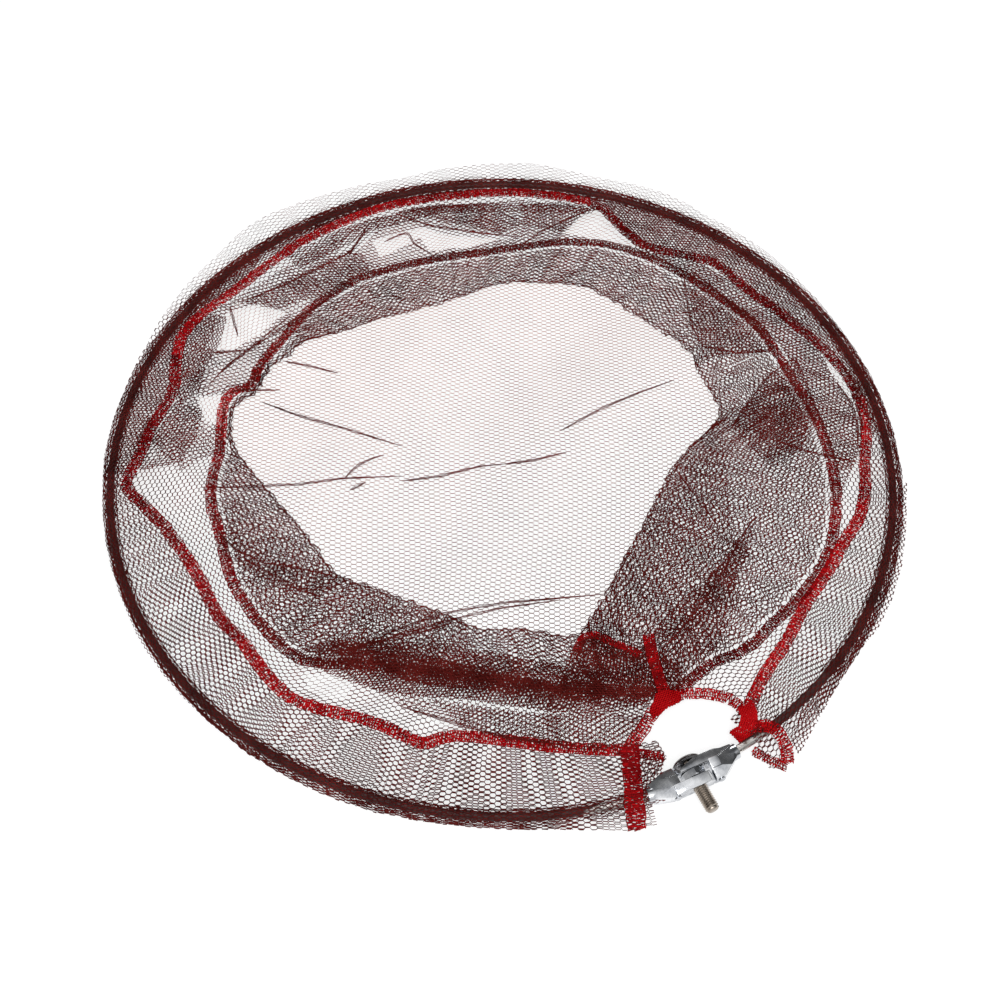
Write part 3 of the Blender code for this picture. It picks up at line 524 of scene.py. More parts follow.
# Lines traced where the camera sees them, from the left round the back to the right
bandPaths = {
    "upperRight": ((285, 252), (310, 238), (340, 224), (370, 212), (400, 204), (440, 198),
        (480, 194), (520, 193), (560, 197), (588, 202), (602, 208), (612, 218), (625, 232),
        (642, 245), (662, 251), (690, 256), (715, 263), (732, 276), (750, 292), (775, 308),
        (797, 326), (818, 343), (836, 362), (850, 380), (859, 397), (865, 417), (867, 440),
        (864, 460), (866, 480), (864, 500), (860, 518), (848, 536), (838, 554), (826, 575),
        (812, 595), (801, 613), (790, 636), (778, 655), (766, 672), (757, 690), (750, 706),
        (746, 716)),
    "upperLeft": ((290, 249), (276, 258), (262, 268), (245, 282), (225, 297), (205, 310),
        (190, 324), (180, 338), (175, 362), (175, 380), (172, 394), (163, 408), (155, 421),
        (148, 434), (143, 448), (136, 462), (129, 474), (125, 484), (130, 493), (142, 503),
        (153, 515), (164, 525), (174, 540), (184, 553), (195, 570), (204, 586), (212, 604),
        (220, 618), (231, 630), (243, 642), (253, 656), (263, 670), (275, 684), (288, 696),
        (305, 704), (330, 711), (360, 718), (385, 726), (405, 737), (424, 744), (440, 738),
        (455, 735), (480, 737), (510, 741), (550, 746), (590, 749), (629, 750)),
    "lower": ((254, 380), (258, 368), (268, 355), (280, 342), (290, 330), (300, 319), (312, 307),
        (326, 297), (342, 287), (362, 277), (384, 271), (405, 265), (430, 260), (455, 256),
        (480, 253), (500, 250), (530, 246), (560, 242), (600, 243), (630, 250), (660, 262),
        (690, 278), (720, 298), (748, 317), (765, 335), (780, 358), (800, 390), (815, 415),
        (825, 440), (832, 465), (836, 490), (836, 515), (832, 545), (820, 570), (806, 590),
        (790, 608), (768, 628), (757, 641), (738, 654), (714, 662), (698, 674), (682, 688),
        (664, 694), (640, 692), (600, 690), (560, 687), (520, 683), (480, 678), (440, 673),
        (400, 668), (360, 664), (330, 664), (304, 661), (284, 649), (268, 633), (254, 616),
        (242, 599), (232, 581), (226, 562), (222, 545), (218, 526), (212, 510), (210, 490),
        (214, 470), (220, 452), (221, 432), (222, 412), (226, 398), (237, 389), (250, 387)),
    "wallFold": ((262, 378), (272, 364), (287, 354), (300, 342), (330, 334), (360, 323),
        (400, 312), (440, 302), (478, 289), (500, 281), (540, 281), (580, 283), (600, 291),
        (620, 303), (640, 315), (660, 328), (680, 340), (692, 350), (698, 366), (712, 390),
        (724, 410), (716, 422), (704, 434), (690, 449), (676, 469), (664, 491), (650, 520),
        (636, 545), (624, 563), (611, 590), (600, 606), (590, 619), (581, 636), (560, 637),
        (540, 632), (520, 629), (500, 630), (480, 630), (462, 622), (440, 612), (400, 600),
        (375, 589), (342, 579), (330, 571), (317, 552), (300, 529), (276, 501), (252, 472),
        (234, 449), (229, 432), (230, 412), (236, 402), (250, 397)),
}
wholeDegrees = np.arange(0.0, 360.0, 1.0)


def ringLine(points, spread=1.3):
    # a smooth closed line through pairs of degrees and millimetres, in metres
    pairs = np.array(sorted((p[0] % 360, p[1]) for p in points), float)
    fine = np.interp(wholeDegrees, pairs[:, 0], pairs[:, 1], period=360)
    reach = np.arange(-6, 7)
    weight = np.exp(-0.5 * (reach / spread) ** 2)
    return sum(w * np.roll(fine, k) for w, k in zip(weight / weight.sum(), reach)) * mm


def around(line, phi):
    return np.interp(phi, wholeDegrees, line, period=360)


def seen(phi, radius, z):
    # a point of the hoop's plane as the camera sees it, moved along its ray to height z
    angle = np.radians(np.asarray(phi) + netLie["turn"])
    radius, z, angle = np.broadcast_arrays(radius, z, angle)
    return np.stack([radius * np.cos(angle) + groundToward[0] * z * slant,
                     hoopCentre[1] + radius * np.sin(angle) + groundToward[1] * z * slant, z], -1)


def onHoop(phi, radius, z):
    angle = np.radians(np.asarray(phi))
    radius, z, angle = np.broadcast_arrays(radius, z, angle)
    return np.stack([radius * np.cos(angle), hoopCentre[1] + radius * np.sin(angle), z], -1)


def hoopPlace(points):
    # true degrees and distance from the hoop's centre
    x, y = points[..., 0], points[..., 1] - hoopCentre[1]
    return np.degrees(np.arctan2(y, x)) % 360, np.hypot(x, y)


def ringFromPicture(pixels, closed=True):
    # the degrees and millimetres, in the hoop's plane, of a line traced in the picture
    corners = [fromPicture(px, py, 0.0) for px, py in pixels]
    corners = np.array(corners + corners[:1] if closed else corners)
    t = np.arange(0, len(corners) - 1 + 0.01, 0.1)
    fine = np.stack([np.interp(t, np.arange(len(corners)), corners[:, k]) for k in range(3)], -1)
    phi, radius = hoopPlace(fine)
    return [(a - netLie["turn"], r / mm) for a, r in zip(phi, radius)]


upperBand = ringLine([*ringFromPicture(bandPaths["upperRight"], False),
                      *ringFromPicture(bandPaths["upperLeft"], False)], 0.8)
lowerBand = ringLine(ringFromPicture(bandPaths["lower"]), 0.8)
wallFold = np.minimum(ringLine(ringFromPicture(bandPaths["wallFold"]), 0.5),
                      lowerBand - 2.5 * mm)
sleeveEdge = ringLine(netLie["sleeveEdge"])
floorZ = studio["floorZ"]
lowest = floorZ + 0.4 * mm      # of any thread's middle


def backness(phi):
    # 1 at the far side of the hoop and 0 at the near side
    return 0.5 + 0.5 * np.sin(np.radians(phi))


def upperBandZ(phi):
    return (-4.2 + 8.8 * np.clip(backness(phi) * 1.25 - 0.12, 0, 1) ** 0.8) * mm


def smooth(t):
    t = np.clip(t, 0, 1)
    return t * t * (3 - 2 * t)


# threads of the net
meshCell = {"across": 3.15 * mm, "along": 3.25 * mm, "pillar": 0.45 * mm, "slant": 0.23 * mm,
            "overrun": 0.08 * mm}
wholeCell = (meshCell["across"], meshCell["along"])
patchSpan = 0.16                # metres, over which a fold's waves repeat


def hexEdges(columns, rows, across, along):
    # the threads of a hexagonal net, three for each hole: a thick knitted pillar and two
    # slanting threads; the third array holds their radii
    i, j = np.meshgrid(np.arange(columns), np.arange(-1, rows + 1), indexing="ij")
    centre = np.stack([i * across, (j + 0.5 * (i % 2)) * along], -1).reshape(-1, 2)
    corners = [np.array(c) for c in ((-across / 3, along / 2), (across / 3, along / 2),
                                     (across * 2 / 3, 0.0), (across / 3, -along / 2))]
    start = np.concatenate([centre + corners[k] for k in range(3)])
    end = np.concatenate([centre + corners[k + 1] for k in range(3)])
    radius = np.full(len(start), meshCell["slant"])
    radius[:len(centre)] = meshCell["pillar"]
    return start, end, radius


def clipThreads(start, end, radius, inside):
    # keeps what lies inside, and shortens what crosses the edge
    a, b = inside(start), inside(end)
    keep = a | b
    start, end, radius = start[keep].copy(), end[keep].copy(), radius[keep]
    a, b = a[keep], b[keep]
    flip = ~a
    start[flip], end[flip] = end[flip].copy(), start[flip].copy()
    cut = ~(a & b)
    low, high = start[cut].copy(), end[cut].copy()
    for _ in range(7):
        middle = (low + high) / 2
        within = inside(middle)[:, None]
        low = np.where(within, middle, low)
        high = np.where(within, high, middle)
    end[cut] = low
    long = np.linalg.norm(end - start, axis=1) > 0.15 * mm
    return start[long], end[long], radius[long]


def threadMesh(name, threads, material, sides=3, others=(), pick=None):
    # every thread is a thin open prism that runs a little past its ends; pick says which of
    # the materials each one takes
    start, end, radius = threads
    line = end - start
    length = np.linalg.norm(line, axis=1, keepdims=True)
    keep = length[:, 0] > 1e-6
    start, end, line, length = start[keep], end[keep], line[keep], length[keep]
    radius = radius[keep][:, None]
    pick = None if pick is None else np.asarray(pick)[keep]
    line = line / length
    start = start - line * meshCell["overrun"]
    end = end + line * meshCell["overrun"]
    helper = np.where(np.abs(line[:, 2:3]) < 0.9, np.array([[0.0, 0.0, 1.0]]),
                      np.array([[1.0, 0.0, 0.0]]))
    u = np.cross(line, helper)
    u /= np.linalg.norm(u, axis=1, keepdims=True)
    w = np.cross(u, line)
    ring = []
    for k in range(sides):
        angle = math.pi / 2 + 2 * math.pi * k / sides
        ring.append((u * math.cos(angle) + w * math.sin(angle)) * radius)
    places = np.stack([start + r for r in ring] + [end + r for r in ring], 1).reshape(-1, 3)
    base = np.arange(len(start))[:, None] * 2 * sides
    quads = []
    for k in range(sides):
        n = (k + 1) % sides
        quads.append(base + np.array([[k, k + sides, n + sides, n]]))
    loops = np.stack(quads, 1).reshape(-1)
    mesh = bpy.data.meshes.new(name)
    mesh.vertices.add(len(places))
    mesh.vertices.foreach_set("co", places.astype(np.float32).reshape(-1))
    mesh.loops.add(len(loops))
    mesh.loops.foreach_set("vertex_index", loops.astype(np.int32))
    mesh.polygons.add(len(loops) // 4)
    mesh.polygons.foreach_set("loop_start", np.arange(0, len(loops), 4, dtype=np.int32))
    mesh.polygons.foreach_set("use_smooth", np.ones(len(loops) // 4, dtype=bool))
    for finish in (material, *others):
        mesh.materials.append(finish)
    if pick is not None:
        mesh.polygons.foreach_set("material_index", np.repeat(pick, sides).astype(np.int32))
    mesh.update()
    mesh.validate()
    piece = bpy.data.objects.new(name, mesh)
    bpy.context.scene.collection.objects.link(piece)
    return piece


def waves(seed, count, around_, across_):
    # a smooth uneven field, the same each run, that closes on itself round the hoop
    rng = np.random.RandomState(seed)
    turns = rng.randint(around_[0], around_[1] + 1, count)
    lengths = rng.uniform(across_[0], across_[1], count)
    phase = rng.uniform(0, 2 * math.pi, count)
    size = rng.uniform(0.5, 1.0, count)
    size /= math.sqrt((size ** 2).sum() / 2)

    def field(share, across):
        total = np.zeros_like(share)
        for n, length, p, s in zip(turns, lengths, phase, size):
            total += s * np.sin(2 * math.pi * (n * share + across / length) + p)
        return total
    return field


def catmull(points, count):
    # each station's control points become a smooth run of count points
    k = points.shape[1]
    padded = np.concatenate([2 * points[:, :1] - points[:, 1:2], points,
                             2 * points[:, -1:] - points[:, -2:-1]], 1)
    t = np.linspace(0, k - 1 - 1e-9, count)
    i = t.astype(int)
    f = (t - i)[None, :, None]
    p0, p1, p2, p3 = (padded[:, i + n] for n in range(4))
    return 0.5 * (2 * p1 + (p2 - p0) * f + (2 * p0 - 5 * p1 + 4 * p2 - p3) * f ** 2
                  + (3 * p1 - p0 - 3 * p2 + p3) * f ** 3)


def sheetMap(controls, closed, fine=0.8 * mm):
    # resamples every station by its own length, so that a mesh keeps its size across the sheet
    runs = catmull(controls, controls.shape[1] * 12)
    step = np.linalg.norm(np.diff(runs, axis=1), axis=2)
    length = np.concatenate([np.zeros((len(runs), 1)), np.cumsum(step, 1)], 1)
    widest = length[:, -1].max()
    grid = np.arange(0, widest + 2 * fine, fine)
    table = np.stack([np.stack([np.interp(grid, length[i], runs[i, :, c]) for c in range(3)], -1)
                      for i in range(len(runs))])
    ends = length[:, -1]
    if closed:
        table = np.concatenate([table, table[:1]])
        ends = np.concatenate([ends, ends[:1]])
    return table, ends, fine


def mapped(sheet, share, across):
    table, ends, fine = sheet
    s = np.clip(share, 0, 1 - 1e-9) * (len(table) - 1)
    b = np.clip(across / fine, 0, table.shape[1] - 1.001)
    i, j = s.astype(int), b.astype(int)
    f, g = (s - i)[:, None], (b - j)[:, None]
    return ((table[i, j] * (1 - f) + table[i + 1, j] * f) * (1 - g)
            + (table[i, j + 1] * (1 - f) + table[i + 1, j + 1] * f) * g)


def endAt(sheet, share):
    table, ends, fine = sheet
    return np.interp(np.clip(share, 0, 1) * (len(ends) - 1), np.arange(len(ends)), ends)


def netOver(sheet, girth, cell, ripple=None, part=(0.0, 1.0)):
    # threads of a net laid over a sheet, in metres; part is the share of the way round
    across, along = cell
    columns = max(2, int(round(girth / across / 2)) * 2)
    rows = int(sheet[1].max() / along) + 2
    start, end, radius = hexEdges(columns, rows, across, along)
    total = columns * across

    def inside(p):
        share = p[:, 0] / total
        return ((share >= part[0]) & (share < part[1]) & (p[:, 1] >= 0)
                & (p[:, 1] <= endAt(sheet, share)))
    start, end, radius = clipThreads(start, end, radius, inside)

    def place(p):
        share = (p[:, 0] / total) % 1.0
        spot = mapped(sheet, share, p[:, 1])
        if ripple is not None:
            spot = spot + ripple(share, p[:, 1])
        spot[:, 2] = np.maximum(spot[:, 2], lowest)
        return spot
    return place(start), place(end), radius


def cutOf(sheet, girth, part):
    share = np.linspace(part[0], part[1], 200)
    length = endAt(sheet, share)
    width = girth * (part[1] - part[0])
    return (width, float(length.max())), float(width * length.mean())


def netPieces(parts, sheet, girth, ripple, material, alter=None, cell=None, others=()):
    # a net laid over a sheet, in pieces: each has a name and its share of the way round; alter
    # may change a piece's threads and say which material each one takes
    made = []
    for name, part in parts.items():
        threads, pick = netOver(sheet, girth, cell or wholeCell, ripple, part), None
        if alter:
            threads, pick = alter(name, *threads)
        made.append(threadMesh(name, threads, material, others=others, pick=pick))
        cutOf(sheet, girth, part)
    return made


def beside(threads, pixels, keepLeft=True):
    # leaves out the threads that the camera sees past a line of its picture, from top to bottom
    start, end, radius = threads
    spot = toPicture((start + end) / 2)
    line = np.array(pixels, float)
    limit = np.interp(spot[:, 1], line[:, 1], line[:, 0])
    keep = spot[:, 0] <= limit if keepLeft else spot[:, 0] >= limit
    return start[keep], end[keep], radius[keep]


def within(points, corners):
    # which points lie inside a flat outline
    found = np.zeros(len(points), bool)
    x, y = points[:, 0], points[:, 1]
    for (x0, y0), (x1, y1) in zip(corners, np.roll(corners, -1, 0)):
        crosses = (y0 > y) != (y1 > y)
        at = x0 + (y - y0) * (x1 - x0) / (y1 - y0 if y1 != y0 else 1e-12)
        found ^= crosses & (x < at)
    return found


def netPatch(pixels, z, turn, cell=(1.0, 1.0), size=1.0, windows=(), rise=0.5):
    # a flat fold of net whose outline is given where the camera sees it, at height z (mm)
    outline = np.array([fromPicture(px, py, z)[:2] for px, py in pixels])
    holes = [np.array([fromPicture(px, py, z)[:2] for px, py in hole]) for hole in windows]
    middle = outline.mean(0)
    reach = np.linalg.norm(outline - middle, axis=1).max() + 4 * mm
    across, along = meshCell["across"] * cell[0], meshCell["along"] * cell[1]
    columns, rows = int(2 * reach / across / 2) * 2 + 2, int(2 * reach / along) + 2
    start, end, radius = hexEdges(columns, rows, across, along)
    centre = np.array((columns * across, rows * along)) / 2
    c, s = math.cos(math.radians(turn)), math.sin(math.radians(turn))
    spin = np.array(((c, s), (-s, c)))
    drift = [waves(int(abs(turn) * 7 + len(pixels) + n), 5, (1, 4), (0.02, 0.06))
             for n in range(3)]

    def plan(p):
        q = (p - centre) @ spin
        share = q[:, 0] / patchSpan
        return middle + q + 0.6 * mm * np.stack([drift[0](share, q[:, 1]),
                                                 drift[1](share, q[:, 1])], -1)

    def inside(p):
        spot = plan(p)
        kept = within(spot, outline)
        for hole in holes:
            kept &= ~within(spot, hole)
        return kept
    start, end, radius = clipThreads(start, end, radius * size, inside)

    def place(p):
        q = p - centre
        lift = rise * mm * drift[2](q[:, 0] / patchSpan, q[:, 1])
        height = np.maximum(z * mm + lift, lowest)
        return np.concatenate([plan(p), height[:, None]], 1)
    return place(start), place(end), radius


def together(*groups):
    return tuple(np.concatenate([group[k] for group in groups]) for k in range(3))


stationDegrees = np.arange(0.0, 360.0, 1.5)


def rippleOf(seed, size, turns, lengths, lift=1.0):
    fields = [waves(seed + n, 7, turns, lengths) for n in range(3)]

    def ripple(share, across):
        return np.stack([fields[0](share, across) * size, fields[1](share, across) * size,
                         fields[2](share, across) * size * lift], -1)
    return ripple


print("thread tools ready")

# the bag's bottom panel
bottomPanel = {"height": 0.45 * mm, "rimInset": 4.0 * mm, "drift": 1.3 * mm, "reach": 225 * mm,
               "span": 0.45, "thread": 0.80}


def makeBottom():
    across, along = wholeCell
    columns = int(2 * bottomPanel["reach"] / across / 2) * 2
    rows = int(2 * bottomPanel["reach"] / along)
    start, end, radius = hexEdges(columns, rows, across, along)
    middle = np.array((columns * across / 2, rows * along / 2))
    side = np.array((-groundToward[1], groundToward[0]))
    toward = groundToward[:2]
    drift = [waves(300 + n, 5, (1, 4), (0.11, 0.30)) for n in range(3)]
    level = floorZ + bottomPanel["height"]
    rim = seen(wholeDegrees, lowerBand - bottomPanel["rimInset"], level)
    rimPhi, rimRadius = hoopPlace(rim)
    order = np.argsort(rimPhi)

    def plan(p):
        q = p - middle
        share = q[:, 0] / bottomPanel["span"]
        q = q + np.stack([drift[0](share, q[:, 1]), drift[1](share, q[:, 1])],
                         -1) * bottomPanel["drift"]
        return np.stack([q[:, 0] * side[0] + q[:, 1] * toward[0],
                         hoopCentre[1] + q[:, 0] * side[1] + q[:, 1] * toward[1]], -1)

    def inside(p):
        phi, radius = hoopPlace(plan(p))
        return radius < np.interp(phi, rimPhi[order], rimRadius[order], period=360)
    start, end, radius = clipThreads(start, end, radius * bottomPanel["thread"], inside)

    def place(p):
        q = p - middle
        lift = np.maximum(drift[2](q[:, 0] / bottomPanel["span"], q[:, 1]), 0) * 0.5 * mm
        return np.concatenate([plan(p), (level + lift)[:, None]], 1)
    a, b = place(start), place(end)
    halves = []
    left = (a + b)[:, 0] < 0
    for name, pick, sign in (("bottomNetLeft", left, -1), ("bottomNetRight", ~left, 1)):
        halves.append(threadMesh(name, (a[pick], b[pick], radius[pick]), bottomThread))
    return halves


bottomPieces = makeBottom()
print("bottom panel laid")

# the lower wall, folded back on itself inside the lower band
lowerWall = {"girth": 1255 * mm, "ripple": 0.55 * mm}


def lowerWallControls():
    phi = stationDegrees
    band = around(lowerBand, phi)
    fold = around(wallFold, phi)
    puff = 1.0 + 0.5 * np.sin(np.radians(phi * 5 + 40)) + 0.4 * np.sin(np.radians(phi * 9))
    rows = [(band - 5 * mm, 1.1), (band * 0.5 + fold * 0.5, 1.2), (fold + 2 * mm, 1.3),
            (fold, 2.0), (fold + 2.5 * mm, 2.8), (fold * 0.6 + band * 0.4, 3.4 + 1.1 * puff),
            (fold * 0.3 + band * 0.7, 3.8 + 0.8 * puff), (band + 1 * mm, 5.4)]
    return np.stack([seen(phi, r, floorZ + z * mm) for r, z in rows], 1)


def makeLowerWall():
    return netPieces({"lowerWallNetBack": (0.0, 0.25), "lowerWallNetLeft": (0.25, 0.5),
                      "lowerWallNetFront": (0.5, 0.75), "lowerWallNetRight": (0.75, 1.0)},
                     sheetMap(lowerWallControls(), True), lowerWall["girth"],
                     rippleOf(11, lowerWall["ripple"], (30, 110), (0.012, 0.06), 0.8), wallThread)


lowerWallPieces = makeLowerWall()
print("lower wall folded")

# the upper wall, from the lower band up to the upper one
upperWall = {"girth": 1480 * mm, "ripple": 0.35 * mm}
cutOut = (
    (264.5, 223), (267, 213), (269.2, 205), (272, 200), (275.7, 202), (278.6, 213.4), (281, 222),
    (282.5, 229)
)


def upperWallOuter(phi):
    band = around(upperBand, phi)
    points = np.array(cutOut, float)
    cut = np.interp(phi, points[:, 0], points[:, 1] * mm)
    return np.where((phi > 264.5) & (phi < 282.5), cut, band)


def upperWallControls():
    phi = stationDegrees
    inner = around(lowerBand, phi)
    outer = np.maximum(upperWallOuter(phi), inner + 1 * mm)
    width = outer - inner
    z0 = floorZ + 5.6 * mm
    z1 = upperBandZ(phi)
    sag = np.minimum(3.0 * mm, width * 0.09)
    rows = [(inner - 1 * mm, z0), (inner + width * 0.35, z0 * 0.7 + z1 * 0.3 - sag),
            (inner + width * 0.7, z0 * 0.35 + z1 * 0.65 - sag), (outer + 1 * mm, z1)]
    return np.stack([seen(phi, r, z) for r, z in rows], 1)


# where the wall lies single and slack, so that the light washes it out
paleWindows = (
    ((226, 312), (238, 303), (262, 303), (300, 303), (330, 296), (318, 306), (290, 321),
    (262, 339), (240, 350), (222, 362), (207, 354), (213, 341), (220, 325)), ((208, 378),
    (222, 364), (245, 352), (264, 348), (252, 372), (245, 383), (228, 385), (215, 390),
    (204, 386)), ((198, 398), (226, 394), (221, 422), (206, 432), (198, 412)), ((300, 303),
    (340, 290), (372, 279), (372, 274), (330, 288), (300, 298)), ((352, 260), (366, 240),
    (384, 229), (408, 222), (425, 227), (440, 234), (470, 237), (500, 239), (470, 248), (430, 255),
    (400, 262), (385, 264), (372, 262)), ((560, 238), (575, 222), (590, 211), (602, 208),
    (613, 222), (626, 238), (642, 249), (600, 242)), ((820, 346), (836, 354), (856, 390),
    (850, 400), (838, 384), (826, 366)), ((304, 674), (330, 674), (354, 684), (346, 700),
    (325, 698), (308, 690)), ((424, 708), (450, 700), (463, 712), (456, 728), (432, 723))
)


def inPicture(threads, areas):
    # which threads the camera sees inside any of some outlines
    spot = toPicture((threads[0] + threads[1]) / 2)
    found = np.zeros(len(spot), bool)
    for area in areas:
        found |= within(spot, np.array(area, float))
    return found


def makeUpperWall():
    def alter(name, start, end, radius):
        pale = inPicture((start, end), paleWindows)
        return (start, end, np.where(pale, radius * 0.55, radius * 0.93)), pale
    return netPieces({"upperWallNetBack": (0.0, 0.5), "upperWallNetFront": (0.5, 1.0)},
                     sheetMap(upperWallControls(), True), upperWall["girth"],
                     rippleOf(31, upperWall["ripple"], (20, 70), (0.02, 0.08)), wallThread,
                     alter, others=(bottomThread,))


upperWallPieces = makeUpperWall()
print("upper wall laid")

# the sleeve round the rod, in an upper and an under layer
rodLine = {"radius": 250, "stagger": 0.85}     # mm
sleeve = {"girth": 1560 * mm, "ripple": 0.16 * mm, "start": -80.5, "end": 268.5}
# where the camera sees the left end of its net
leftEnd = ((668, 740), (664, 762), (652, 784), (649, 800), (655, 815), (658, 840))


def rodRadius(phi):
    # the left half lies a little outside the hoop's circle at the yoke, and the right inside
    side = np.where((phi % 360 > 90) & (phi % 360 < 270), -1, 1)
    return (rodLine["radius"] - side * rodLine["stagger"] * (1 - np.sin(np.radians(phi)))) * mm


def sleeveControls(phi):
    zBand = upperBandZ(phi)
    zEdge = (-8.0 + 9.5 * smooth((np.sin(np.radians(phi)) + 0.35) / 1.1)) * mm
    turned = phi - netLie["turn"]
    b = hoopPlace(seen(turned, around(upperBand, turned), zBand))[1]
    rod = rodRadius(phi)
    e = np.maximum(hoopPlace(seen(turned, around(sleeveEdge, turned), zEdge))[1], rod + 2.9 * mm)
    near = smooth((b - (rod - 10 * mm)) / (5 * mm))

    def mix(first, second):
        return first * (1 - near) + second * near
    between = (b + rod - 4.5 * mm) / 2
    top = [(b - 2 * mm, zBand),
           (mix(between, b + 0.5 * mm), mix((zBand + 0.8 * mm) / 2, zBand)),
           (mix(rod - 4.4 * mm, b + 1.2 * mm), mix(1.2 * mm, zBand)),
           (mix(rod - 1.4 * mm, np.maximum(rod - 1.4 * mm, b + 2 * mm)),
            mix(3.3 * mm, zBand * 0.5 + 1.9 * mm)),
           (rod + 1.9 * mm, 3.1 * mm), (rod + 3.6 * mm, 0.6 * mm), (e, zEdge)]
    low = [(e - 0.4 * mm, zEdge + 0.2 * mm), (rod + 3.1 * mm, -1.0 * mm),
           (rod + 1.2 * mm, -3.2 * mm), (rod - 1.4 * mm, -3.2 * mm), (rod - 4.2 * mm, -1.0 * mm),
           (mix(between, rod - 4.4 * mm), mix((zBand - 1.2 * mm) / 2, 1.6 * mm)),
           (b - 2 * mm, zBand - 0.9 * mm)]
    return [np.stack([onHoop(phi, r, z) for r, z in rows], 1) for rows in (top, low)]


def makeSleeve():
    count = len(np.arange(sleeve["start"], sleeve["end"] + 0.1, 1.5))
    phi = np.linspace(sleeve["start"], sleeve["end"], count)
    girth = sleeve["girth"] * (sleeve["end"] - sleeve["start"]) / 360

    def alter(name, *threads):
        start, end, radius = beside(threads, leftEnd) if name.endswith("Left") else threads
        degrees, reach = hoopPlace((start + end) / 2)
        slack = np.clip((reach - rodRadius(degrees) - 5 * mm) / (6 * mm), 0, 1)
        thin = (0.45 + 0.20 * np.clip(backness(degrees), 0, 1)) * slack
        thin += 0.06 + 0.09 * np.clip(np.cos(np.radians(degrees)), 0, 1)
        return (start, end, radius * (1 - thin)), None
    pieces = []
    for layer, controls, seed in zip(("Top", "Under"), sleeveControls(phi), (51, 71)):
        pieces += netPieces({f"sleeve{layer}Right": (0.0, 0.5), f"sleeve{layer}Left": (0.5, 1.0)},
                            sheetMap(controls, False), girth,
                            rippleOf(seed, sleeve["ripple"], (25, 90), (0.02, 0.08)),
                            sleeveThread, alter)
    return pieces


sleevePieces = makeSleeve()
print("sleeve drawn over the rod")

# The net is drawn tight round the rod: its meshes close up into a hatched band.
wrap = {"cell": (0.60, 0.50), "thread": 0.62, "start": -66.0, "end": 266.0, "outer": 5.6 * mm,
        "ripple": 0.10 * mm, "girth": 1570 * mm}


def makeWrap():
    phi = np.linspace(wrap["start"], wrap["end"], 240)
    rod = rodRadius(phi)
    e = np.clip(around(sleeveEdge, phi - netLie["turn"]), rod + 4.4 * mm, rod + wrap["outer"])
    rows = [(rod - 4.1 * mm, -1.2), (rod - 3.9 * mm, 1.2), (rod - 1.9 * mm, 3.3),
            (rod + 0.9 * mm, 3.7), (rod + 3.2 * mm, 2.5), (e, 0.6)]
    controls = np.stack([onHoop(phi, r, z * mm) for r, z in rows], 1)

    def alter(name, start, end, radius):
        return (start, end, radius * wrap["thread"]), None
    return netPieces({"sleeveWrapRight": (0.0, 0.5), "sleeveWrapLeft": (0.5, 1.0)},
                     sheetMap(controls, False, 0.4 * mm),
                     wrap["girth"] * (wrap["end"] - wrap["start"]) / 360,
                     rippleOf(91, wrap["ripple"], (40, 120), (0.01, 0.04)), sleeveThread, alter,
                     [size * share for size, share in zip(wholeCell, wrap["cell"])])


wrapPieces = makeWrap()
print("net drawn tight round the rod")


def pixelLine(pixels, heights, step=1.2):
    # a smooth line in space through places of the picture at given heights (mm)
    points = np.array([fromPicture(px, py, z) for (px, py), z in zip(pixels, heights)])
    along = np.concatenate([[0], np.cumsum(np.linalg.norm(np.diff(points, axis=0), axis=1))])
    count = max(6, int(along[-1] / (step * mm)))
    t = np.linspace(0, along[-1], count)
    line = np.stack([np.interp(t, along, points[:, k]) for k in range(3)], -1)
    for _ in range(6):
        line[1:-1] = (line[:-2] + 2 * line[1:-1] + line[2:]) / 4
    return line


